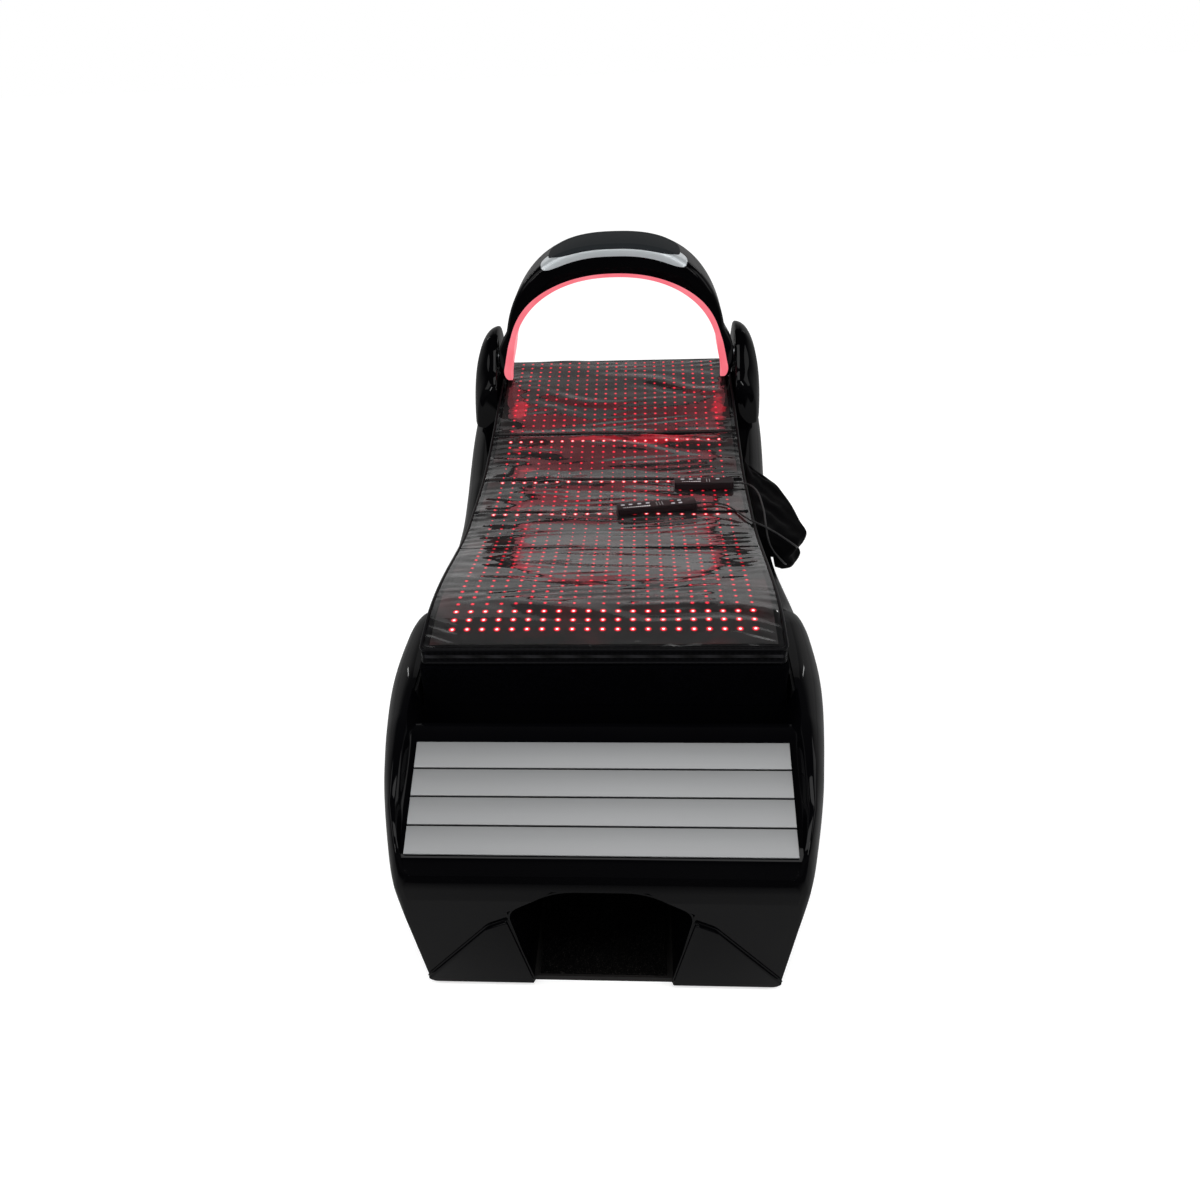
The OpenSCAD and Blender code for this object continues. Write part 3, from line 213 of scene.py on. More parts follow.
seen = add(tree, "Math", {0: path.outputs["Is Camera Ray"], 1: path.outputs["Is Glossy Ray"]}, operation="MAXIMUM")
seen = add(tree, "Math", {0: seen, 1: path.outputs["Is Transmission Ray"]}, operation="MAXIMUM")
fill = add(tree, "Math", {0: seen, 1: 0.58}, operation="MULTIPLY")
lift = add(tree, "Emission", {"Color": linear("#ffffff"), "Strength": fill})
both = add(tree, "AddShader", {0: matt, 1: lift})
apart = add(tree, "SeparateXYZ", {0: place})
unlit = add(tree, "MapRange", {
    "Value": apart.outputs["Y"], "From Min": -1.5, "From Max": -1.8, "To Min": 0.5, "To Max": 0.96})
far = add(tree, "Math", {0: unlit, 1: path.outputs["Is Glossy Ray"]}, operation="MULTIPLY")
dark = add(tree, "Emission", {"Color": linear("#000000"), "Strength": 0.0})
paper_mix = add(tree, "MixShader", {0: far, 1: both, 2: dark})
add(tree, "OutputMaterial", {"Surface": paper_mix})
ground.materials.append(paper)

surround = bpy.data.worlds.new("surround")
bpy.context.scene.world = surround
surround.use_nodes = True
tree = surround.node_tree
tree.nodes.clear()
path = add(tree, "LightPath")
way = add(tree, "SeparateXYZ", {0: add(tree, "TexCoord").outputs["Generated"]})
dome = add(tree, "MapRange", {
    "Value": way.outputs["Z"], "From Min": 0.27, "From Max": 0.66, "To Min": 0.66, "To Max": 0.08},
    interpolation_type="SMOOTHSTEP")
rear = add(tree, "MapRange", {"Value": way.outputs["Y"], "From Min": -0.1, "From Max": 0.6, "To Min": 0.18})
seen = add(tree, "Math", {0: dome, 1: rear}, operation="MULTIPLY")
mirrored = add(tree, "Mix", {0: path.outputs["Is Glossy Ray"], 2: 0.75, 3: seen})
plain = add(tree, "Math", {0: path.outputs["Is Camera Ray"], 1: path.outputs["Is Transmission Ray"]},
            operation="MAXIMUM")
glow = add(tree, "Mix", {0: plain, 2: mirrored, 3: 1.0})
sky = add(tree, "Background", {"Color": linear("#ffffff"), "Strength": glow})
add(tree, "OutputWorld", {"Surface": sky})

for name, place, aim, size, power in [
        ("lamp_left", (-3.2, -1.6, 2.6), (0, -0.3, 0.4), (2.0, 1.6), 20),
        ("lamp_right", (3.4, -0.6, 2.4), (0, 0.1, 0.4), (2.0, 1.6), 18),
        ("lamp_tread", (0.1, -2.5, 4.2), (0, -1.1, 0.4), (3.4, 2.0), 72),
        ("lamp_rear", (0, 4.2, 3.4), (0, 0.8, 0.7), (3.6, 2.0), 7),
        ("strip_rear_left", (-2.7, 2.9, 2.4), (0, 0, 0.6), (0.1, 0.9), 5),
        ("strip_rear_right", (2.6, 3.2, 2.7), (0, 0, 0.6), (0.1, 0.9), 5),
        ("strip_left", (-2.0, -2.5, 1.7), (-0.4, -1.1, 0.4), (0.2, 1.0), 10),
        ("strip_right", (1.8, -2.2, 1.9), (0.4, -1.1, 0.4), (0.2, 1.0), 10)]:
    lamp = bpy.data.lights.new(name, "AREA")
    lamp.shape = "RECTANGLE"
    lamp.size, lamp.size_y = size
    lamp.energy = power
    stand = put(name, lamp)
    stand.location = place
    stand.rotation_euler = (Vector(aim) - Vector(place)).to_track_quat("-Z", "Y").to_euler()
bpy.context.scene.view_settings.view_transform = "Standard"

# Base plate: black stained birch plywood, cut to the body's foot and screwed up under it. It
# carries the steel frame and the boxes, and closes the hollow body from below.


def repaint(made, *names):
    """Gives solids that keep their shape a new finish."""
    for name in names:
        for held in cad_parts[name].material_slots:
            held.link = "OBJECT"
            held.material = made


# Stained plywood: the open grain stays darker than the wood between, along the sheet's length.
plywood = grained("stained_plywood", (4, 90, 2), 4, "#060505", "#161311",
                  {"Roughness": 0.7, "IOR": 1.45}, (0.4, 0.0002))
repaint(plywood, "base_plate")

# Steel frame and electronics boxes: square steel tube and folded steel sheet, powder coated
# black, standing on the base plate inside the body.
# Powder coating: the baked powder keeps a slight orange peel that breaks up the light.
powder_coat = grained("powder_coated_steel", 2.5, 1, "#26262a", "#37373b",
                      {"Roughness": 0.42, "IOR": 1.5}, (0.3, 0.0002))
repaint(powder_coat, "steel_frame", "power_supply", "control_unit")

# Body shell: one large moulding of glass fibre under black gelcoat, polished. It holds the
# mattress in a long pocket and carries the tread on its sloping front deck.
nose_out, crease_z, flare, wall = 60, 290, 54, 7
bed_l, foam_half, pocket_half = 2330, 400, 412
nose_half, toe_half, pod_half, waist_half, head_half, tail_half = 402, 425, 486, 452, 500, 432
tread_half, tread_len, tread_slope = 384.5, 245.5, radians(26.9)
tread_y, tread_z = -38, 389
mattress_knots = [(250, 625), (480, 653), (1130, 577), (1330, 577), (2300, 717)]
foam_front, foam_rear = 331, 2190
pocket_front, pocket_rear = foam_front - 9, foam_rear + 16


def swing(start, end, steps):
    """Angles in radians, in equal steps between two that are given in degrees."""
    return [radians(start + (end - start) * k / steps) for k in range(steps + 1)]


def drift(x, y, seed):
    """Slow change from -1 to 1."""
    return noise.noise(Vector((x, y, seed)))


def ease(t):
    """Runs from 0 to 1, and starts and ends level."""
    t = min(1, max(0, t))
    return t * t * (3 - 2 * t)


def top_z(y):
    """Height of the mattress top at a place along the bed."""
    for (y0, z0), (y1, z1) in zip(mattress_knots, mattress_knots[1:]):
        if y < y1:
            return z0 + (z1 - z0) * ease((y - y0) / (y1 - y0))
    return mattress_knots[-1][1]


def curve(knots, y):
    """A smooth curve through knots of place and value, with no overshoot."""
    if y <= knots[0][0] or y >= knots[-1][0]:
        return knots[0][1] if y <= knots[0][0] else knots[-1][1]
    runs = [(b[1] - a[1]) / (b[0] - a[0]) for a, b in zip(knots, knots[1:])]
    slopes = [runs[0]] + [0 if a * b <= 0 else 2 * a * b / (a + b) for a, b in zip(runs, runs[1:])] + [runs[-1]]
    i = max(k for k in range(len(runs)) if y >= knots[k][0])
    h = knots[i + 1][0] - knots[i][0]
    t = (y - knots[i][0]) / h
    return (knots[i][1] * (1 - ease(t)) + knots[i + 1][1] * ease(t)
            + slopes[i] * h * t * (1 - t) ** 2 - slopes[i + 1] * h * t * t * (1 - t))


deck_drop = 6.6 / cos(tread_slope)
deck_end_y = tread_y + tread_len * cos(tread_slope)
deck_end_z = tread_z + tread_len * sin(tread_slope) - deck_drop
tub_front_z = top_z(pocket_front) - 181
deck_knots = [
    (-60, 333.6), (-57, 347.9), (-50, 362.8), (tread_y, tread_z - deck_drop), (deck_end_y, deck_end_z),
    (deck_end_y + 32, deck_end_z + 15), (deck_end_y + 48, deck_end_z + 17), (deck_end_y + 66, deck_end_z + 9),
    ((deck_end_y + 66 + pocket_front) / 2 + 8, (deck_end_z + tub_front_z) / 2 - 4), (pocket_front, tub_front_z)]
rail_knots = [
    (-60, 333.6), (-57, 349.9), (-50, 365.7), (tread_y, tread_z + 2), (60, 452), (160, 505), (240, 530),
    (400, 546), (600, 546), (670, 537), (730, 512), (800, 500), (1110, 488), (1330, 490), (1600, 515)]
width_knots = [
    (-60, nose_half - 14), (-54, nose_half), (-40, nose_half + 10), (0, toe_half), (150, toe_half + 30),
    (500, pod_half), (760, pod_half - 8), (1111, waist_half), (2140, head_half), (2250, head_half - 12),
    (2300, tail_half + 36), (2330, tail_half)]


def rail_z(y):
    """Height of the rails beside the mattress: level curves, then a straight rise to the head."""
    rise_y, rise_z = rail_knots[-1]
    return curve(rail_knots, y) if y < rise_y else rise_z + (y - rise_y) * 110 / 730


def deck_z(y):
    """Height of the deck between the rails, before the mattress."""
    on_slope = tread_y < y < deck_end_y
    return tread_z + (y - tread_y) * tan(tread_slope) - deck_drop if on_slope else curve(deck_knots, y)


def both_sides(half):
    """A ring up the right side and down the left one."""
    return half + [(-x, z) for x, z in reversed(half) if abs(x) > 1e-6]


def body_ring(y, inset):
    """One ring across the body, moved inwards by the inset."""
    w0 = curve(width_knots, y)
    shoulder = max(16, min(58, w0 - pocket_half - 9))
    w, a = w0 - inset, shoulder - 0.7 * inset
    top = rail_z(y) - inset
    low = max(3 - (5 if inset else 0), -(y - inset) * crease_z / nose_out)
    deck = (rail_z(y) if y > pocket_front else deck_z(y)) - inset
    bend = top - min(78, (top - low) * 0.45)
    lean = flare * (1 - low / bend)
    foot = min(10, (bend - low) * 0.2)
    flat = w - a - 5.4 + 0.45 * inset
    deck_x = min(tread_half + 9 + 0.5 * inset, flat - 2)
    half = [(0, low), (w - lean - foot, low)]
    half += [(w - lean - foot + 1.2 * foot * sin(f), low + foot * (1 - cos(f))) for f in swing(30, 90, 2)]
    for k in range(1, 8):
        u = foot / (bend - low) + (1 - foot / (bend - low)) * k / 8
        half.append((w - lean * (1 - u) ** 1.12, low + (bend - low) * u))
    half += [(w - a * (1 - cos(f)), bend + (top - bend) * sin(f)) for f in swing(0, 90, 18)]
    half += [(flat + (deck_x - flat) * t, top + (deck - top) * ease(t)) for t in (k / 14 for k in range(15))]
    half.append((0, deck))
    return [(x, y, z) for x, z in both_sides(half)]


def net(rows, closed=False):
    """The points and faces of a net of rows of equal length."""
    n = len(rows[0])
    faces = [(i * n + j, i * n + (j + 1) % n, i * n + n + (j + 1) % n, i * n + n + j)
             for i in range(len(rows) - 1) for j in range(n if closed else n - 1)]
    return [p for row in rows for p in row], faces


def loft(rings):
    """A closed skin through rings of equal length."""
    points, faces = net(rings, True)
    n, m = len(rings[0]), len(points)
    return points, faces + [tuple(reversed(range(n))), tuple(range(m - n, m))]


def shape(name, points, faces, made):
    """A mesh piece from points in bed mm."""
    mesh = bpy.data.meshes.new(name)
    mesh.from_pydata([bed(*p) for p in points], [], faces)
    mesh.materials.append(made)
    return put(name, mesh)


def joined(parts):
    """The points and faces of several parts as one."""
    points, faces = [], []
    for some, theirs in parts:
        faces += [tuple(len(points) + k for k in face) for face in theirs]
        points += some
    return points, faces


def turn_out(mesh):
    """Turns a closed skin's faces outwards."""
    loose = bmesh.new()
    loose.from_mesh(mesh)
    bmesh.ops.recalc_face_normals(loose, faces=loose.faces)
    loose.to_mesh(mesh)
    loose.free()


def settle(piece, angle, *changes, cutters=()):
    """Works modifiers and cutters into the mesh, turns its faces out and shades it smooth up to an angle."""
    cuts = [("BOOLEAN", {"object": cutter, "operation": "DIFFERENCE", "solver": "EXACT"}) for cutter in cutters]
    for kind, values in [*changes, *cuts]:
        change = piece.modifiers.new(kind.lower(), kind)
        for key, value in values.items():
            setattr(change, key, value)
    rough = piece.data
    piece.data = bpy.data.meshes.new_from_object(piece.evaluated_get(bpy.context.evaluated_depsgraph_get()))
    piece.modifiers.clear()
    bpy.data.meshes.remove(rough)
    turn_out(piece.data)
    piece.data.shade_smooth()
    piece.data.set_sharp_from_angle(angle=radians(angle))
    for cutter in cutters:
        bpy.data.objects.remove(cutter)
    return piece


def block(low, high):
    """The points and faces of a box between two corners."""
    points = [(x, y, z) for z in (low[2], high[2]) for y in (low[1], high[1]) for x in (low[0], high[0])]
    return points, [(0, 2, 3, 1), (4, 5, 7, 6), (0, 1, 5, 4), (2, 6, 7, 3), (0, 4, 6, 2), (1, 3, 7, 5)]


# Black gelcoat: a thick clear polished layer over deep black, so it is nearly black face on and
# shows crisp lamps and a pale rim where it turns away. A faint long wave comes from the mould.
gelcoat, tree, place = finish("polished_gelcoat")
swell = add(tree, "TexNoise", {"Vector": place, "Scale": 1000 / 160, "Detail": 1.0})
tone = add(tree, "Mix", {0: swell, 6: linear("#020203"), 7: linear("#040405")}, data_type="RGBA")
waves = add(tree, "Bump", {"Height": swell, "Strength": 0.12, "Distance": 0.002})
skin = add(tree, "BsdfPrincipled", {
    "Base Color": tone.outputs[2], "Roughness": 0.4, "IOR": 1.02, "Coat Weight": 0.24,
    "Coat Roughness": 0.035, "Coat IOR": 1.5, "Coat Normal": waves})
add(tree, "OutputMaterial", {"Surface": skin})

front_places = [-60, -59.4, -58.6, -57.6, -56.4, -55, -53.4, -51.6, -49.6, -47.4, -45, -42.4, -39.6, -36, -32, -28,
                -24, -20, -16, -12, -8, -4, 0]
places = front_places + list(range(8, 176, 8)) + list(range(176, 322, 4)) + [321.9, 322.1]
places += list(range(330, 900, 10)) + list(range(900, 2240, 20)) + [2240 + 6 * k for k in range(15)] + [2327, 2330]
rough_places = [y for y in front_places if y > -52] + [7, 9] + list(range(20, 322, 20)) + [322, 330]
rough_places += list(range(360, 2300, 40)) + [2300, 2323]
shell = shape("body_moulding", *loft([body_ring(y, 0) for y in places]), gelcoat)
pocket = block((-pocket_half, pocket_front, tub_front_z - 200), (pocket_half, pocket_rear, tub_front_z + 400))
recess_depth = 326
recess = [(-143, -20), (-187, 252), (-95, 314), (95, 314), (187, 252), (143, -20)]
opening = loft([[(x, y, z) for x, z in recess] for y in (-100, 330)])
inlet = block((-67, 2290, 123), (67, 2350, 177))
vent = block((-118, 2290, 347), (118, 2350, 413))
cutters = [shape("cutter", *part, gelcoat)
           for part in (loft([body_ring(y, wall) for y in rough_places]), pocket, opening, inlet, vent)]
for cutter in cutters:
    turn_out(cutter.data)
mounted(settle(shell, 24, cutters=cutters), "bed", "gloss_body", "body_shell")

# Recess liner: a thin moulding of the same glass fibre, bonded into the front of the body as toe
# room. Its inner corners are rounded in the mould, so each carries a soft upright highlight.


def rounded(corners, radii, steps=6):
    """An outline whose corners are rounded."""
    line = []
    for i, (corner, radius) in enumerate(zip(corners, radii)):
        here = Vector(corner)
        back = (Vector(corners[i - 1]) - here).normalized() * radius
        on = (Vector(corners[(i + 1) % len(corners)]) - here).normalized() * radius
        for t in ([k / steps for k in range(steps + 1)] if radius else [0]):
            line.append(tuple(here + back * (1 - t) ** 2 + on * t * t))
    return line


def slab(x, y, wide, tall, radius, steps=6):
    """The outline of a rectangle with round corners about a middle."""
    a, b = wide / 2, tall / 2
    return rounded([(x - a, y - b), (x + a, y - b), (x + a, y + b), (x - a, y + b)], (radius,) * 4, steps)


outline = [(x * (1 - 0.3 / abs(x)), z - 0.3) for x, z in recess]
outline[0], outline[-1] = (-147.9, 12.4), (147.9, 12.4)
outline = rounded(outline, (0, 30, 46, 46, 30, 0))
rows = [[(x, max(-z * nose_out / crease_z, -59.8), z) for x, z in outline]]
round_r = 34
for depth, inset in [(20, 0)] + [(recess_depth - round_r * (1 - sin(f)), round_r * (1 - cos(f)))
                                 for f in swing(0, 90, 10)]:
    rows.append([(x * (1 - inset / 185), depth, z - inset * ease((z - 120) / 120)) for x, z in outline])
points, faces = net(rows)
faces.append(tuple(range(len(points) - len(outline), len(points))))
liner = settle(shape("recess_moulding", points, faces, gelcoat), 40, ("SOLIDIFY", {"thickness": 0.004, "offset": 1}))
mounted(liner, "bed", "gloss_body", "recess_liner")

# Recess carpet: short loop pile carpet, cut to the recess floor and glued to the base plate.
# Loop pile: near black yarn, with tiny pale specks painted into its colour as highlights where the loops catch the
# light.
carpet, tree, place = finish("loop_pile_carpet")
loops = add(tree, "TexVoronoi", {"Vector": place, "Scale": 1000 / 4})
glint_noise = add(tree, "TexNoise", {"Vector": place, "Scale": 1000 / 2.5, "Detail": 3.0})
painted_glints = add(tree, "MapRange", {"Value": glint_noise, "From Min": 0.58, "From Max": 0.7})
coat(tree, painted_glints, "#020202", "#2c2a28",
     {"Roughness": 0.9, "IOR": 1.12, "Sheen Weight": 0.02, "Sheen Roughness": 0.4}, loops, (0.9, 0.002))
repaint(carpet, "recess_carpet")

# Skirt panels: gelcoated covers, screwed from behind over the plinth's two leaning corners. Their
# edges are eased by hand, and shine as thin bright lines.
lean = atan(nose_out / crease_z)
for side, name in ((-1, "skirt_left"), (1, "skirt_right")):
    flat = [(375, 22), (231, 208), (189, 232), (146.5, 10), (363, 10)]
    points, faces = net([[
        (x, -up * sin(lean) - out * cos(lean), up * cos(lean) - out * sin(lean))
        for x, up in rounded([(side * x, up) for x, up in flat], (5, 9, 7, 4, 10), 4)] for out in (0.3, 8.3)], True)
    n = len(points) // 2
    panel = shape(name + "_cover", points, faces + [tuple(range(n)), tuple(range(n, 2 * n))], gelcoat)
    settle(panel, 30, ("BEVEL", {"width": 0.0026, "segments": 3, "limit_method": "ANGLE", "angle_limit": 1.0}))
    mounted(panel, "bed", "gloss_body", name)

# Rear inlet and air grille: moulded ABS parts and a bakelite fuse drawer, clipped into openings
# in the rear wall. The power rocker is red and clear enough to be lit from behind.
# Moulded ABS: satin black with the fine even spark texture of its mould.
black_abs = grained("moulded_abs", 1.1, 3, "#060607", "#0e0e0f", {"Roughness": 0.45, "IOR": 1.2}, (0.3, 0.0001))
repaint(black_abs, "inlet_plate", "mains_inlet", "fuse_drawer", "rocker_frame", "rear_vent", "tread_carrier",
        "mattress_tub")
# Red polycarbonate: smooth and glossy, a little uneven in depth of colour.
red_key = grained("red_polycarbonate", 6, 2, "#7d1014", "#a81a1c", {"Roughness": 0.22, "IOR": 1.58})
repaint(red_key, "rocker", "key_a5")

# Foot tread: four extruded aluminium strips, brushed along their length and anodised clear. They
# lie on a black carrier on the sloping deck, with a narrow gap between them.
# Brushed aluminium: fine lines across the bed spread the overhead lamp into a broad even sheen.
aluminium, tree, place = finish("brushed_aluminium")
stretch = add(tree, "Mapping", {"Vector": place, "Scale": (1000 / 140, 1000 / 0.9, 1000 / 0.9)})
lines = add(tree, "TexNoise", {"Vector": stretch, "Scale": 1.0, "Detail": 4.0, "Roughness": 0.6})
wide = add(tree, "Mapping", {"Vector": place, "Scale": (1000 / 500, 1000 / 9, 1000 / 9)})
bands = add(tree, "TexNoise", {"Vector": wide, "Scale": 1.0, "Detail": 1.0})
mixed = add(tree, "Mix", {0: 0.2, 2: lines, 3: bands})
rough = add(tree, "MapRange", {"Value": lines, "To Min": 0.6, "To Max": 0.66})
coat(tree, mixed, "#acadae", "#b4b5b6", {"Metallic": 1.0, "Roughness": rough}, lines, (0.05, 0.0001))
strip_gap, strip_t = 3.5, 4
strip_w = (tread_len - 3 * strip_gap) / 4
for i in range(4):
    start = i * (strip_w + strip_gap)
    points, faces = block((-tread_half, start, -strip_t - 0.3), (tread_half, start + strip_w, -0.3))
    points = [(x, tread_y + along * cos(tread_slope) - up * sin(tread_slope),
               tread_z + along * sin(tread_slope) + up * cos(tread_slope)) for x, along, up in points]
    strip = shape(f"tread_bar_{i + 1}", points, faces, aluminium)
    settle(strip, 30, ("BEVEL", {"width": 0.0009, "segments": 3}))
    mounted(strip, "bed", "tread_aluminium", f"tread_strip_{i + 1}")

# Foam mattress: a block of firm foam in a black velvet cover with a round edge, sewn with a
# welt along its lower edge. It stands in the tub and carries the light mat.
# Short pile velvet: blue black, with scattered lighter pile tips and a soft sheen at its edges.
velvet, tree, place = finish("short_pile_velvet")
pile = add(tree, "TexNoise", {"Vector": place, "Scale": 1000 / 1.6, "Detail": 3.0})
nap = add(tree, "TexNoise", {"Vector": place, "Scale": 1000 / 70, "Detail": 2.0})
tips = add(tree, "MapRange", {"Value": pile, "From Min": 0.55, "From Max": 0.8})
shaded = add(tree, "Math", {0: tips, 1: nap}, operation="MULTIPLY")
coat(tree, shaded, "#010102", "#12121a",
     {"Roughness": 0.95, "IOR": 1.08, "Sheen Weight": 0.006, "Sheen Roughness": 0.35}, pile, (0.5, 0.0006))


def padded_rings(front, rear, half, low, high, edge, draw, seed):
    """Rings of a soft slab that follows the mattress top between two drops below it."""
    ends = [edge * (1 - cos(f)) for f in swing(0, 90, 6)]
    stations = [front + e for e in ends] + [rear - e for e in reversed(ends)]
    count = round((rear - front - 2 * edge) / 16)
    stations[7:7] = [front + edge + (rear - front - 2 * edge) * k / count for k in range(1, count)]
    rings = []
    for y in stations:
        near = min(y - front, rear - y, edge)
        inset = edge - sqrt(max(0, edge ** 2 - (edge - near) ** 2))
        bottom, top = top_z(y) - low + inset * 0.6, top_z(y) - high - inset * 0.6
        ring = [(half - edge + edge * cos(f), bottom + edge * (1 + sin(f))) for f in swing(-90, 0, 12)]
        ring += [(half - draw * sin(pi * t), bottom + edge + (top - bottom - 2 * edge) * t)
                 for t in (k / 8 for k in range(1, 8))]
        ring += [(half - edge + edge * cos(f), top - edge + edge * sin(f)) for f in swing(0, 90, 12)]
        ring = [(x - inset, z) for x, z in [(0, bottom), (half * 0.5, bottom)] + ring + [(half * 0.5, top), (0, top)]]
        ring[0], ring[-1] = (0, bottom), (0, top)
        bent = []
        for x, z in both_sides(ring):
            bent.append((x + drift(x / 90 + seed, y / 90, z / 60) * 1.6 * (x / half), y, z))
        rings.append(bent)
    return rings


cover = padded_rings(foam_front, foam_rear, foam_half - 1, low=180, high=40.6, edge=13, draw=3, seed=5)
foam = mounted(settle(shape("velvet_mattress", *loft(cover), velvet), 50), "bed", "velvet", "foam_mattress")


def edge_line(half, front, rear, drop, corner):
    """A closed line round the mattress at a drop below its top, with rounded corners."""
    line, points = [], slab(0, (front + rear) / 2, 2 * half, rear - front, corner)
    for i, here in enumerate(points):
        there = points[(i + 1) % len(points)]
        count = max(1, round(dist(here, there) / 16))
        for k in range(count):
            x, y = (a + (b - a) * k / count for a, b in zip(here, there))
            line.append((x, y, top_z(y) - drop))
    return line


welt_line = edge_line(foam_half - 2, foam_front + 2, foam_rear - 2, 172, 14)
mounted(tube("mattress_welt", welt_line, 3, velvet, True), "bed", "velvet")

# Light mat: a padded mat of coated cloth with a zipped side band between two welts. Under its clear
# film lie three boards with rows of lit diodes, 33 mm apart.
# Coated cloth: black polyurethane on a fine plain weave, whose threads still show through.
coated, tree, place = finish("coated_cloth")
weft, warp = [
    add(tree, "TexWave", {"Vector": place, "Scale": 1000 / 2.2 / 20, "Distortion": 0.3}, bands_direction=way)
    for way in "XZ"]
weave = add(tree, "Math", {0: weft.outputs["Fac"], 1: warp.outputs["Fac"]}, operation="MAXIMUM")
coat(tree, weave, "#030304", "#0b0b0d", {"Roughness": 0.42, "IOR": 1.16}, weave, (0.4, 0.0003))
mat_half, mat_front, mat_rear = 392, 333, 2188
seams = [foam_front + share * (foam_rear - foam_front) for share in (0.3034, 0.4486, 0.5724, 0.7257)]
cover = padded_rings(mat_front, mat_rear, mat_half - 1, low=40, high=3.6, edge=7, draw=1.5, seed=9)
mat = mounted(settle(shape("light_mat", *loft(cover), coated), 50), "bed", "mat_cloth", "mat_base")
for name, drop, radius in (("mat_upper_welt", 3.6, 4.2), ("mat_lower_welt", 36, 3)):
    welt_line = edge_line(mat_half - 1, mat_front + 1, mat_rear - 1, drop, 16)
    mounted(tube(name, welt_line, radius, coated, True), "bed", "mat_cloth")
zip_line, middle = edge_line(mat_half, mat_front, mat_rear, 19, 16), (mat_front + mat_rear) / 2
rows = []
for drop, out in ((-3.5, -0.5), (-3.2, 1.0), (-0.9, 1.0), (-0.6, 0.1), (0.6, 0.1), (0.9, 1.0), (3.2, 1.0), (3.5, -0.5)):
    rows.append([(x + copysign(1, x) * out * min(1, (abs(x) / 388) ** 40),
                  y + copysign(1, y - middle) * out * min(1, (abs(y - middle) / 923) ** 90), z + drop)
                 for x, y, z in zip_line])
# Zip tape: nylon coils drawn coarse enough to show, at 6 mm a tooth, in a dull black tape.
zip_tape, tree, place = finish("nylon_zip")
teeth = add(tree, "TexWave", {"Vector": place, "Scale": 1000 / 6 / 20}, bands_direction="DIAGONAL")
coat(tree, teeth.outputs["Fac"], "#050506", "#1e1e21",
     {"Roughness": 0.6, "IOR": 1.4}, teeth.outputs["Fac"], (0.5, 0.0005))
mounted(settle(shape("mat_zip", *net(rows, True), zip_tape), 40), "bed", "mat_cloth")

# Diode boards: black lacquered circuit boards. Red light from the diodes, spilling over the lacquer,
# is painted on it as a faint uneven glowing haze; the film above has its own painted red glow.
board, tree, place = finish("lacquered_board")
spread = add(tree, "Mapping", {"Vector": place, "Scale": (1000 / 130, 1000 / 90, 1000 / 90), "Rotation": (0, 0, 0.6)})
haze = add(tree, "TexNoise", {"Vector": spread, "Scale": 1.0, "Detail": 3.0})
painted_haze = add(tree, "MapRange", {"Value": haze, "From Min": 0.5, "From Max": 0.78, "To Max": 0.03})
lacquer = {"Base Color": linear("#0b0809"), "Roughness": 0.5, "IOR": 1.45}
skin = add(tree, "BsdfPrincipled", {**lacquer, "Emission Color": linear("#ff1030"), "Emission Strength": painted_haze})
add(tree, "OutputMaterial", {"Surface": skin})
board.cycles.emission_sampling = "NONE"
repaint(board, "led_panel_foot", "led_panel_middle", "led_panel_head", "arch_led_board")
# Lit diode: a clear red dome, and the brightest are so bright that their middle turns white.
lit_core, tree, _ = finish("lit_diode")
fade = add(tree, "Attribute", attribute_name="glow")
white_hot = add(tree, "MapRange", {"Value": fade.outputs["Fac"], "From Min": 1.2, "From Max": 1.8})
tone = add(tree, "Mix", {0: white_hot, 6: linear("#ff2a44"), 7: linear("#ffeaec")}, data_type="RGBA")
lit = add(tree, "Emission", {"Color": tone.outputs[2], "Strength": 1.7})
add(tree, "OutputMaterial", {"Surface": lit})
lit_core.cycles.emission_sampling = "NONE"
# Glow round a diode: a painted deep red glow that fades out on the lacquer within a few millimetres.
lit_ring, tree, _ = finish("diode_glow")
fade = add(tree, "Attribute", attribute_name="glow")
power = add(tree, "Math", {0: fade.outputs["Fac"], 1: 1.2}, operation="MULTIPLY")
skin = add(tree, "BsdfPrincipled", {**lacquer, "Emission Color": linear("#ff0a26"), "Emission Strength": power})
add(tree, "OutputMaterial", {"Surface": skin})
lit_ring.cycles.emission_sampling = "NONE"

lengths = [(mat_front, 0.0)]
for y in range(mat_front + 1, mat_rear + 1):
    lengths.append((y, lengths[-1][1] + hypot(1, top_z(y) - top_z(y - 1))))
board_drop, diode_pitch, diode_sides = 1.8, 33, 12
diode_rows, diode_columns, first_row = 55, 21, 66
parts, glow, cores = [], [], []
for row in range(diode_rows):
    y = next(place for place, run in lengths if run >= first_row + diode_pitch * row)
    lean = atan(top_z(y + 1) - top_z(y))
    for column in range(diode_columns):
        x = (column - diode_columns // 2) * diode_pitch
        near_fold = any(-12 < seam - y < 44 for seam in seams[1:])
        bright = 2.0 if row < 3 else 1.7 if near_fold else 0.8 + 0.4 * drift(x / 150, y / 150, 3)
        rings = []
        for radius, lift, level in ((1.0, 1.0, 1), (1.9, 0.6, 1), (2.2, 0.15, 1), (3.0, 0.12, 0.9), (4.0, 0.1, 0.34),
                                    (5.0, 0.08, 0.08), (6.2, 0.06, 0)):
            spread = radius * (0.8 + 0.35 * bright)
            rings.append([(x + spread * cos(f), y + spread * sin(f) * cos(lean),
                           top_z(y) - board_drop + lift + spread * sin(f) * sin(lean))
                          for f in (2 * pi * k / diode_sides for k in range(diode_sides))])
            glow += [level * bright] * diode_sides
        points, faces = net(rings, True)
        parts.append((points, faces + [tuple(range(diode_sides))]))
        cores += [k < 2 * diode_sides for k in range(len(faces))] + [True]
diodes = shape("mat_diodes", *joined(parts), lit_ring)
diodes.data.materials.append(lit_core)
diodes.data.attributes.new("glow", "FLOAT", "POINT").data.foreach_set("value", glow)
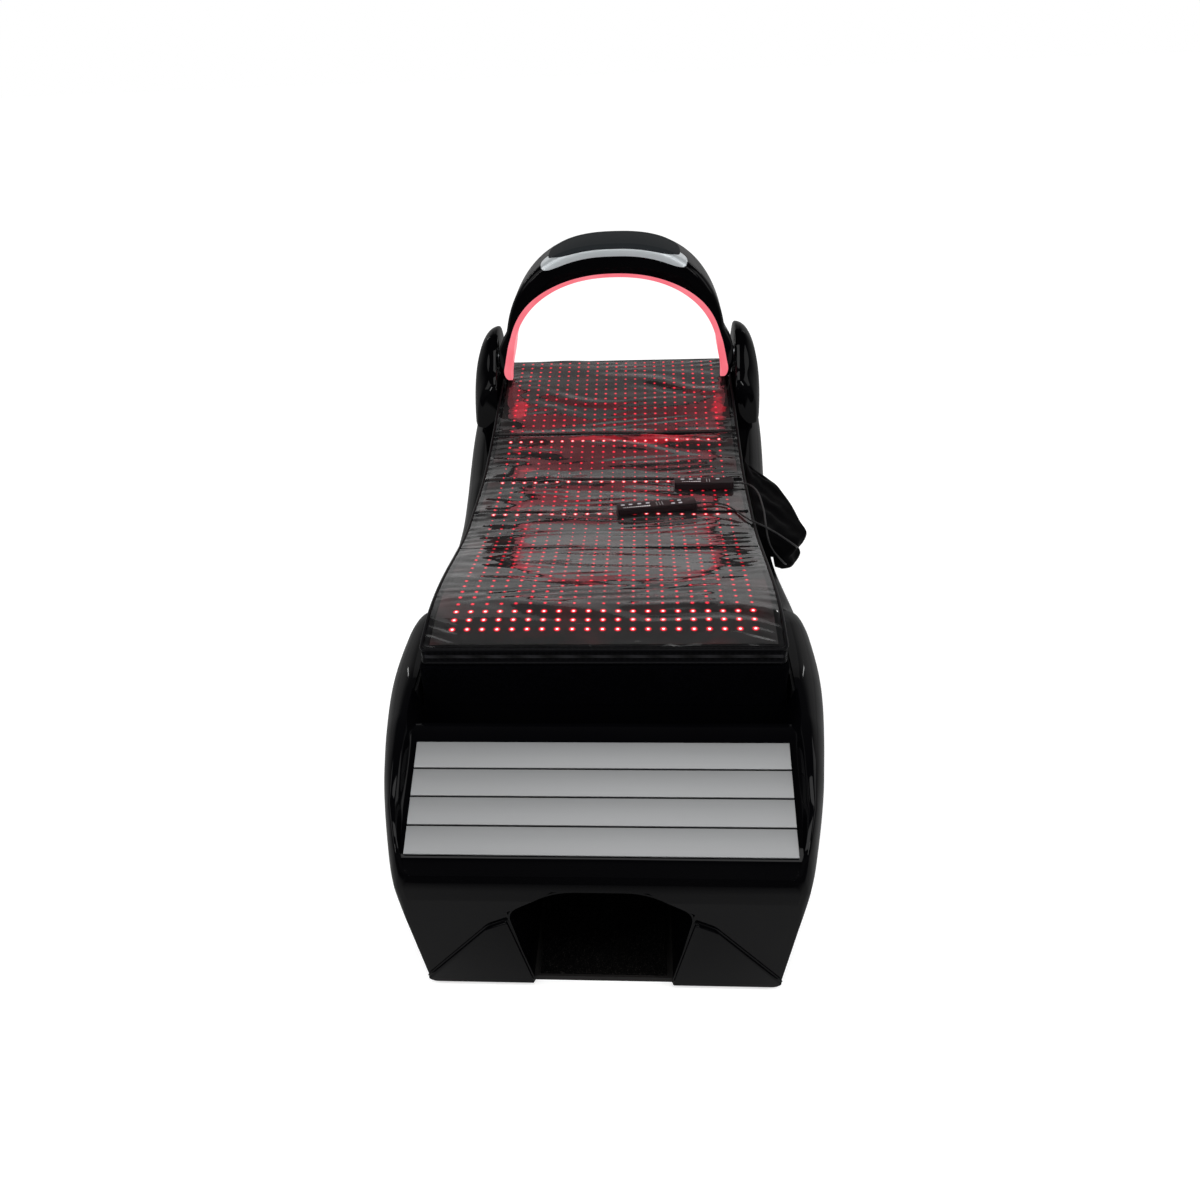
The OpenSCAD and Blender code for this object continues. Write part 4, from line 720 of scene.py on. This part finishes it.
diodes.data.polygons.foreach_set("material_index", [int(core) for core in cores])
diodes.data.shade_smooth()
mounted(diodes, "bed", "led_board")

# Clear cover film: thin soft vinyl, welded into the mat's upper welt and across it at the folds.
# It has crept with use, so it lies in long slanting wrinkles and puckers at its edges.
# Clear vinyl: smooth and glossy, so it mirrors the white round the horizon as a soft grey, and each
# wrinkle as a bright or dark streak. Red light from the diodes that catches in some of the wrinkles is painted on the
# film as a red glow in ragged patches.
vinyl, tree, place = finish("clear_vinyl")
stretch = add(tree, "Mapping", {"Vector": place, "Scale": (1000 / 220, 1000 / 14, 1000 / 14), "Rotation": (0, 0, 0.16)})
creep = add(tree, "TexNoise", {"Vector": stretch, "Scale": 1.0, "Detail": 2.0, "Distortion": 0.6})
dents = add(tree, "Bump", {"Height": creep, "Strength": 0.18, "Distance": 0.0008})
spill = add(tree, "Attribute", attribute_name="spill")
edges = add(tree, "Mapping", {"Vector": place, "Scale": (1000 / 90, 1000 / 22, 1000 / 22), "Rotation": (0, 0, 0.35)})
ragged = add(tree, "TexNoise", {"Vector": edges, "Scale": 1.0, "Detail": 4.0, "Distortion": 1.2})
reach = add(tree, "Math", {0: spill.outputs["Fac"], 1: ragged}, operation="ADD")
power = add(tree, "MapRange", {"Value": reach, "From Min": 0.92, "From Max": 1.04, "To Max": 0.26})
skin = add(tree, "BsdfPrincipled", {
    "Base Color": linear("#ffffff"), "Roughness": 0.035, "IOR": 1.5, "Transmission Weight": 1.0,
    "Emission Color": linear("#ff1034"), "Emission Strength": power, "Normal": dents})
add(tree, "OutputMaterial", {"Surface": skin})
vinyl.cycles.emission_sampling = "NONE"


film_half = 386


def folds(x, y, pitch, lean, seed):
    """Long wavy folds across the mat, from -1 to 1, that swell and die away."""
    phase = (y + lean * x + 34 * drift(x / 380, y / 260, seed)) / pitch + 0.3 * drift(x / 190, y / 140, seed + 3)
    return sin(2 * pi * phase) * max(0, 0.12 + 1.6 * drift(x / 300, y / 100, seed + 7))


def film_rise(x, y):
    """How far the film stands above its lowest lie, in mm."""
    inward = film_half - abs(x)
    side = exp(-inward / 50)
    front = exp(-(y - mat_front - 6) / 32)
    long_run = 2.6 * folds(x, y, 88, 0.26, 2) + 1.1 * folds(x, y, 36, -0.16, 12) + 4.6 * drift(x / 260, y / 92, 31)
    pressed = 1 - 0.8 * exp(-((x - 330) / 110) ** 2 - ((y - 1290) / 150) ** 2)
    held = min(1, inward / 30) ** 0.5 * pressed
    flank = 0.8 * side * folds(x * 0.4, y, 34, 0.5 if x > 0 else -0.5, 22)
    toe = front * 2.2 * sin(x / 9 + 4 * drift(x / 60, y / 60, 41)) * max(0, 0.25 + drift(x / 60, y / 90, 44))
    clear = 1 - ease((x - 170) / 60)
    swell = 0
    for seam, reach, size in zip(seams, (18, 40, 52, 58), (0.5, 4.2 * clear, 5.2 * clear, 5.0)):
        ahead, behind = max(0, seam - 6 - y) / reach, max(0, y - seam - 6) / 22
        swell += size * exp(-ahead ** 2 - behind ** 2) * (0.8 + 0.6 * drift(x / 120, seam, 15))
        swell += 0.22 * size * exp(-(ahead / 1.6) ** 2 - behind ** 2) * folds(x, y, 30, 0.16, seam)
    calm = 0.5 + 0.5 * ease((y - mat_front - 40) / 130)
    groove = max(exp(-((y - seam) / 5) ** 2) for seam in seams)
    corner = 1.8 * exp(-((abs(x) - 350) ** 2 + (y - mat_front - 40) ** 2) / 1500) * sin(y / 5 + x / 11)
    return max(0, 0.5 + 1.5 * held + calm * held * long_run + flank * pressed + toe + corner
               + swell * (1 - 0.75 * groove))


# Painted red glow in the film: middle across, middle along, width, depth and strength of each patch.
patches = [
    (-315, 1840, 36, 90, 0.72), (340, 1830, 32, 120, 0.66), (150, 1645, 190, 34, 0.68), (-80, 1655, 90, 18, 0.55),
    (-300, 1600, 40, 45, 0.48), (-260, 1475, 60, 30, 0.48), (-190, 730, 80, 50, 0.46), (-60, 610, 160, 24, 0.46),
    (-230, 1080, 60, 30, 0.44), (100, 1215, 130, 16, 0.48), (270, 1140, 60, 30, 0.44)]
across = [film_half * (2 * j / 150 - 1) for j in range(151)]
along = [mat_front + 6 + (mat_rear - mat_front - 12) * k / 400 for k in range(401)]
points, faces = net([[(x, y, top_z(y) - 0.7 + film_rise(x, y)) for x in across] for y in along])
film = settle(shape("cover_film", points, faces, vinyl), 180)
spread = [sum(level * exp(-((x - at_x) / wide) ** 2 - ((y - at_y) / deep) ** 2)
              for at_x, at_y, wide, deep, level in patches) for x, y, z in points]
film.data.attributes.new("spill", "FLOAT", "POINT").data.foreach_set("value", spread)
mounted(film, "bed", "clear_film", "mat_window")

# Weld strips: where the film is welded down across a fold, a strip of the coated cloth stands
# over the weld as a low black rib, a little wavy from the heat.
for number, (seam, wide, tall) in enumerate(zip(seams, (5, 10, 16, 18), (2.2, 4.2, 5.2, 5.6)), 1):
    rows = []
    for x in range(-film_half, film_half + 1, 6):
        y = seam + 3 * drift(x / 130, number, 51) + (4 * drift(x / 34, number, 53) if number == 2 else 0)
        rows.append([(x, y + wide * t, top_z(y + wide * t) + tall * (1 - (2 * t) ** 2))
                     for t in (-0.5, -0.35, -0.15, 0.15, 0.35, 0.5)])
    mounted(settle(shape(f"mat_weld_{number}", *net(rows), coated), 60), "bed", "mat_cloth")

# Pouch: a soft bag of black velvet cloth, sewn to the mattress cover's right side. It hangs over
# the rail in deep slanting folds, and holds the ends of the handset cords.
# Velvet cloth: deep black, with a thin grey sheen along each fold where the pile turns away.
pouch_cloth = grained("velvet_cloth", 1.4, 3, "#010102", "#060607",
                      {"Roughness": 0.7, "IOR": 1.08, "Sheen Weight": 0.015, "Sheen Roughness": 0.3}, (0.4, 0.0005))
pouch_front, pouch_rear, pouch_top = 1046, 1545, 577
pouch_reach = [(1046, 74), (1062, 100), (1100, 122), (1150, 143), (1200, 132), (1300, 112), (1400, 87),
               (1450, 68), (1500, 38), (1545, 14)]
tip_drop = [(1046, 69), (1100, 55), (1150, 58), (1250, 36), (1400, 21), (1545, 9)]
low_drop = [(1046, 101), (1070, 131), (1110, 147), (1200, 139), (1350, 113)]


def pouch_ring(y):
    """One ring across the pouch: up the mattress's side, out over the cloth's crest and back under it."""
    inner, rail, width = foam_half + 0.5, rail_z(y) + 5, curve(width_knots, y)
    crest = top_z(y) - 6 - 22 * (1 - ease((y - pouch_front) / 30))
    hang = 1 - ease((y - 1380) / 70)
    deep = 3 * sin(radians((y - pouch_front) * 3.2 + 60))
    out = max(foam_half + curve(pouch_reach, y), inner + 14)
    tip = pouch_top - curve(tip_drop, y)
    low = rail + (pouch_top - curve(low_drop, y) - rail) * hang
    edge = out - 3 + (width + 4 - out + 3) * hang

    def mid(a, b, t):
        return a + (b - a) * t
    slope = [(mid(inner, out, share), mid(crest, tip, fall) + rise)
             for share, fall, rise in ((0.3, 0.12, deep), (0.5, 0.36, -deep), (0.72, 0.62, deep), (0.9, 0.86, 2))]
    return [(inner, rail), (inner, crest), (mid(inner, out, 0.12), crest + 3), *slope,
            (out, tip), (mid(out, edge, 0.06), mid(tip, low, 0.25)), (mid(out, edge, 0.3), mid(tip, low, 0.5)),
            (mid(out, edge, 0.16) + deep * hang, mid(tip, low, 0.76)), (mid(out, edge, 0.34), low + 4 * hang),
            (mid(out, edge, 0.7), low), (edge, low + 6 * hang), (edge, mid(low, rail, 0.5)),
            (edge, rail - 0.2 * (1 - hang))]


rings = []
for y in [pouch_front + (pouch_rear - pouch_front) * k / 110 for k in range(111)]:
    ring = [(x, y, z) for x, z in pouch_ring(y)]
    fine = through(ring[1:13], 5)
    bent = []
    for k, (x, _, z) in enumerate(fine):
        soft = sin(pi * min(1, k / 12) / 2) * sin(pi * min(1, (len(fine) - 1 - k) / 8) / 2)
        slant = sin((y * 0.8 + x * 0.9 + 30 * drift(x / 90, y / 120, 61)) / 17)
        crease = 4 * slant * (0.5 + drift(x / 70, y / 160, 63))
        bent.append((x + soft * crease * 0.5, y, z + soft * (crease - 1)))
    rings.append([ring[0]] + bent + ring[13:])
pouch = mounted(settle(shape("side_pouch", *loft(rings), pouch_cloth), 60), "bed", "pouch_cloth", "pouch")

# Wings: two hollow gelcoated fins, bonded to the rails at both sides of the head. Each holds the
# bronze bush of the arch's hinge at its inner face.
wing_back, wing_in, wing_w, bush_r = bed_l - 14, foam_half + 1, 92, 17.6
wing_front = wing_back - 394
pivot_y = bed_l - 294
pivot_z = top_z(pivot_y) + 83.5
wing_top = pivot_z + 89
wing_rise = [(wing_front + along, wing_top - drop) for along, drop in (
    (0, 166), (8, 148), (40, 104), (80, 42), (118, 8), (165, 0), (225, 8), (294, 62), (360, 150), (394, 214))]
wing_out = [(wing_front + along, wing_w - less) for along, less in (
    (0, 32), (10, 18), (60, 5), (120, 0), (274, 0), (360, 22), (394, 50))]


def wing_ring(y, side, inset):
    """One ring across a wing: flat at the mattress and round at its outer side."""
    low, high, width = rail_z(y) + 0.3, curve(wing_rise, y) - inset, curve(wing_out, y) - inset
    arc = [(wing_in + width * cos(f) ** (2 / 2.3), low + (high - low) * sin(f) ** (2 / 2.3))
           for f in swing(0, 90, 28)]
    half = [(wing_in, low)] + arc[:-2] + [(wing_in + 7, high - 0.6), (wing_in + 3, high - 2), (wing_in, high - 7)]
    return [(side * x, y, z) for x, z in half]


for side, name in ((-1, "wing_left"), (1, "wing_right")):
    places = [wing_front + s for s in (0, 0.8, 2, 4, 7, 10, 14, 18, 23, 28, 34)]
    places += [wing_front + 40 + 7 * k for k in range(45)]
    places += [wing_back - s for s in (34, 28, 22, 16, 11, 7, 4, 2, 0.6, 0)]
    inset = [6 * (1 - sqrt(1 - max(0, 1 - min(y - wing_front, wing_back - y) / 6) ** 2)) for y in places]
    fin = shape(name + "_moulding", *loft([wing_ring(y, side, e) for y, e in zip(places, inset)]), gelcoat)
    bore = [[(side * x, pivot_y + bush_r * cos(f), pivot_z + bush_r * sin(f)) for f in swing(0, 352.5, 47)]
            for x in (wing_in - 3, wing_in + 46)]
    drill = settle(shape("drill", *loft(bore), gelcoat), 30)
    mounted(settle(fin, 32, cutters=[drill]), "bed", "gloss_body", name)

# Hinge: turned bronze bushes pressed into the wings, and ground steel shafts with flanges that are
# screwed to the arch's legs and held by nuts inside the wings.
# Turned bronze: warm and metallic, with fine rings left by the lathe.
bronze = grained("turned_bronze", 1.5, 2, "#8a6234", "#b68a4c", {"Metallic": 1.0, "Roughness": 0.35})
repaint(bronze, "hinge_bushes")
# Ground steel: neutral grey metal whose fine scratches run round the shaft.
ground_steel = grained("ground_steel", (0.8, 20, 20), 3, "#77797c", "#a3a5a8",
                       {"Metallic": 1.0, "Roughness": 0.32}, (0.2, 0.0001))
repaint(ground_steel, "hinge_shafts", "hinge_nuts")

# Light arch: a hollow gelcoated moulding that stands on the hinge over the head end. Its open
# inner side holds a light board behind an opal lining.
arch_out, arch_in, arch_rise, arch_top = 394, 365, 282, 380
leg_r, leg_d, crown_d, lip_w, arch_wall = 76, 140, 252, 10, 4.8


def oval(f, a, b, power):
    """A point on a squared ellipse at an angle in degrees."""
    c, s = cos(radians(f)), sin(radians(f))
    return Vector((copysign(a * abs(c) ** (2 / power), c), copysign(b * abs(s) ** (2 / power), s)))


def drawn(point, share, start, run):
    """Draws a point in by a share of its width, over a run of height."""
    return Vector((point[0] * (1 - share * ease((point[1] - start) / run)), point[1]))


def arch_inner(f):
    """The lining's line at a turn of the sweep."""
    return drawn(oval(f, arch_in, arch_rise, 2.2), 0.06, -80, 120)


def arch_outer(f):
    """The casing's outer line, held flat beside the pivot."""
    if f < 0 or f > 180:
        x = arch_out - 12 * ease(-sin(radians(f)) * 3.4)
        return Vector((copysign(x, cos(radians(f))), arch_inner(f)[1]))
    point = oval(f, arch_out + 8, arch_top, 2.45)
    return drawn((max(-arch_out, min(arch_out, point[0])), point[1]), 0.085, 30, 85)


def crown(f):
    """How far up the crown a turn lies, from 0 at the legs to 1 at the top."""
    return ease((sin(radians(f)) - 0.15) / 0.85)


def arch_edges(f):
    """Front and rear edge of the arch at a turn, from the pivot, and how deep it is from line to line."""
    limit = crown_d if 0 <= f <= 180 else sqrt(leg_r ** 2 - arch_inner(f)[1] ** 2)
    front, rear = leg_d / 2 + 4 + 12 * crown(f), leg_d / 2 + (crown_d - leg_d - 8) * crown(f)
    return -min(front, limit), min(rear, limit), (arch_outer(f) - arch_inner(f)).length


def on_arch(f, t, y):
    """A point between the inner line, 0, and the outer one, 1, at a place along the bed."""
    point = arch_inner(f) * (1 - t) + arch_outer(f) * t
    return (point[0], pivot_y + y, pivot_z + point[1])


legs = [-degrees(asin((sin(radians(90 * (1 - k / 14))) * 71.5 / arch_rise) ** 1.1)) for k in range(14)]
turns = legs + [180 * k / 120 for k in range(121)] + [180 - f for f in reversed(legs)]
rings = []
for f in turns:
    front, rear, deep = arch_edges(f)
    c, r, q = min(0.35, 14 / deep), min(22, deep * 0.45), min(0.56, 16 / deep)
    k = 1 - arch_wall / deep
    bow = [(1 - c * 1.5 * (1 - sin(a)), r * (1 - cos(a))) for a in swing(0, 90, 10)]
    lip = [(0, 3), (c * 0.06, 1.4), (c * 0.2, 0.4), (c * 0.4, 0)]
    ring = [(t, front + y) for t, y in lip] + [(t, front + y) for t, y in bow]
    ring += [(t, rear - y) for t, y in reversed(bow)] + [(t, rear - y) for t, y in reversed(lip)]
    ring += [(0, rear - lip_w), (q, rear - lip_w), (q + 0.06, rear - 7), (k, rear - r * 0.45 - 8),
             (k, front + r * 0.45 + 8), (q + 0.06, front + 7), (q, front + lip_w), (0, front + lip_w)]
    rings.append([on_arch(f, t, y) for t, y in ring])
mounted(settle(shape("arch_moulding", *loft(rings), gelcoat), 42), "light_arch", "gloss_body", "arch_shell")

# Opal lining: a bent strip of opal acrylic, lit from behind, held between the casing's lips. Its
# front edge folds over the casing as a lit lip, wide at the legs and narrow at the crown.
# Lit opal acrylic: glows an even soft pink, a little deeper towards its edges.
opal, tree, place = finish("lit_opal_acrylic")
cloud = add(tree, "TexNoise", {"Vector": place, "Scale": 1000 / 60, "Detail": 1.0})
tone = add(tree, "Mix", {0: cloud, 6: linear("#f2606f"), 7: linear("#ff8c98")}, data_type="RGBA")
skin = add(tree, "BsdfPrincipled", {
    "Base Color": linear("#40181c"), "Roughness": 0.35, "IOR": 1.49,
    "Emission Color": tone.outputs[2], "Emission Strength": 0.95})
add(tree, "OutputMaterial", {"Surface": skin})
rings = []
for f in turns:
    front, rear, deep = arch_edges(f)
    wide = min(10 + 12 * ease(1.3 + arch_inner(f)[1] / 70) * (1 - crown(f) ** 2), 0.75 * deep)
    lip = 0.4 * min(0.35 * deep, 14)
    sheet = [(1, rear - 10.3), (0, rear - 13), (-0.8, rear - 18), (-1.6, front + 4), (-1.8, front - 1),
             (-1.3, front - 1.9), (-0.3, front - 2.3), (wide - 1.4, front - 2.3), (wide - 0.4, front - 1.9),
             (wide, front - 1), (wide, front - 0.3), (lip, front - 0.3), (-0.3, front + 2.7),
             (-0.3, front + 10.3), (5, front + 10.3), (5, rear - 10.3)]
    rings.append([on_arch(f, t / deep, y) for t, y in sheet])
mounted(settle(shape("opal_lining", *loft(rings), opal), 40), "light_arch", "light_lining", "arch_lining")

# Crown trim and panel: a crescent of silver painted ABS under an oval cover of smooth dark grey
# ABS, clipped onto the top of the arch.


def crown_piece(name, start, section, made):
    """A piece laid over the crown from one side to the other, by its section at each turn."""
    rings = []
    for share in map(sin, swing(-90, 90, 72)):
        f = 90 - share * (90 - start)
        front, rear, deep = arch_edges(f)
        rings.append([on_arch(f, 1 - low / deep, front + back) for low, back in section(share, rear - front)])
    return settle(shape(name, *loft(rings), made), 50)


def trim_section(share, width):
    """Round the casing's front edge and flat under the panel, with blunt ends."""
    taper = sqrt(max(0, 1 - abs(share) ** 7))
    low, back = 5.5 + 28.5 * taper, 15 + 62 * taper ** 0.7
    return [(low, 1.6), (max(5.4, low * 0.53), 9.4 - 7.2 * taper), (5.3, 9.4), (0, 21.6), (-0.3, 22),
            (-0.3, 22 + back), (-0.9, 22 + back), (-1.1, 21), (0.4, 14), (3.2, 8.2), (7, 3.6),
            (min(low, 13), 1.2), (min(low, 18), -0.2), (low, -0.8)]


def panel_section(share, width):
    """Flat over the crown, with its front edge bent down over the trim, and round at the ends."""
    s = 1 - (1 - abs(share)) * 0.9
    turned = 40 * s ** 8 + 44 * (1 - sqrt(max(0, 1 - max(0, (abs(share) - 0.93) / 0.07) ** 2)))
    slope = [(0, 11.5, 0.6), (4, 8, 2.4), (9, 4.2, 6), (15, 0.2, 11.4), (22, -1.0, 19), (30, -1.1, 27),
             (130, -1.1, 127)]
    under = []
    for along in (turned, turned + 3, turned + 7, turned + 12, turned + 18, turned + 26):
        i = max(k for k in range(len(slope) - 1) if along >= slope[k][0])
        t = (along - slope[i][0]) / (slope[i + 1][0] - slope[i][0])
        under.append(tuple(a + (b - a) * t for a, b in zip(slope[i][1:], slope[i + 1][1:])))
    over = [(low - 1.6, back - (1.4 if low > 0 else 0)) for low, back in under]
    rear = width - 26 - turned
    return under + [(-1.1, rear), (-2.2, rear), (-2.7, rear - 2)] + list(reversed(over))


# Satin silver paint: fine metal flakes in clear lacquer, brighter where it faces a lamp.
silver = grained("satin_silver_paint", 0.9, 2, "#c2cacd", "#e0e5e8",
                 {"Metallic": 0.6, "Roughness": 0.38, "Coat Weight": 0.3, "Coat Roughness": 0.1})
# Smooth grey ABS: an even dark grey with a soft satin reflection.
grey_abs = grained("smooth_grey_abs", 0.8, 2, "#1e2022", "#26292b", {"Roughness": 0.5, "IOR": 1.04})
mounted(crown_piece("crown_trim", 54.5, trim_section, silver), "light_arch", "silver_trim", "arch_trim")
mounted(crown_piece("crown_cover", 59, panel_section, grey_abs), "light_arch", "crown_panel", "arch_top_panel")

# Handsets: two slim remote controls of dark brown ABS that lie on the light mat. Each has a row of
# soft keys, a level scale and dots, and its cord leaves through a rubber relief.
# Smooth brown ABS: dark warm grey with a fine satin grain.
brown_abs = grained("smooth_brown_abs", 1.0, 2, "#150f11", "#201719", {"Roughness": 0.32, "IOR": 1.18}, (0.2, 0.0001))
# Printed marks: pale grey screen ink, flat on the cover.
ink = grained("screen_ink", 2, 1, "#c9c6c8", "#e6e4e5", {"Roughness": 0.6, "IOR": 1.4})
# Silicone keys: soft matt grey, faintly mottled by fingers.
silicone = grained("moulded_silicone", 3, 2, "#9c999d", "#bbb8bc", {"Roughness": 0.7, "IOR": 1.4})
repaint(silicone, *[f"key_a{i}" for i in range(1, 9) if i != 5], *[f"key_b{i}" for i in range(1, 5)])
repaint(cord_rubber, "handset_a_relief", "handset_b_relief")

handset_w, well_size = 46, (11.6, 6.6)
key_rows = {
    "a": [(-95, 8), (-73, 8), (-48, 8), (-24, 8), (45, 8), (66, 8), (45, -9), (66, -9)],
    "b": [(-62, 8), (-38, 8), (-14, 8), (40, 8)]}
for letter, at, turn, length in (("a", (128, 1181), 11, 225), ("b", (268, 1345), 0, 172)):
    base = max(top_z(at[1] + d) for d in (-26, 0, 26))
    c, s = cos(radians(turn)), sin(radians(turn))

    def lay(points):
        """Turns points of the handset's own into its place on the mat."""
        return [(at[0] + x * c - y * s, at[1] + x * s + y * c, base + z) for x, y, z in points]
    for part, low, high in (("base", 0, 16.8), ("cover", 17.15, 20.15)):
        points, faces = loft([[(x, y, z) for x, y in slab(0, 0, length, handset_w, 9)] for z in (low, high)])
        body = shape(f"handset_{letter}_{part}_moulding", lay(points), faces, brown_abs)
        edge = ("BEVEL", {"width": 0.0018 if part == "cover" else 0.0012, "segments": 3, "limit_method": "ANGLE"})
        wells = []
        if part == "cover":
            for x, y in key_rows[letter]:
                rim = slab(x, y, *well_size, 3.29)
                well = loft([lay([(a, b, z) for a, b in rim]) for z in (low - 2, high + 2)])
                wells.append(settle(shape("well", *well, brown_abs), 30))
        settle(body, 35, edge, cutters=wells)
        mounted(body, "bed", "handset_case", f"handset_{letter}_{part}")
    marks = [(-95 + 5.2 * k, -10, 3.6, 1.6 + 0.35 * k) for k in range(15)]
    if letter == "b":
        marks = [(-62 + 5 * k, -9, 3.4, 1.4 + 0.4 * k) for k in range(11)]
    marks += [(x, y, 1.8, 1.8) for x in ((0, 8, 16) if letter == "a" else (8, 16)) for y in (-10, -4, 2, 8)]
    parts = []
    for x, y, wide, tall in marks:
        rim = slab(x, y, wide, tall, min(wide, tall) * 0.4, 3)
        points, faces = net([lay([(a, b, z) for a, b in rim]) for z in (20.1, 20.35)], True)
        parts.append((points, [tuple(range(len(rim), len(points)))] + faces))
    mounted(settle(shape(f"handset_{letter}_marks", *joined(parts), ink), 30), "bed", "grey_key")

# The object's box before and after dressing.
size = [[list(map(float, corner)) for corner in box] for box in (cad_box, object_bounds())]
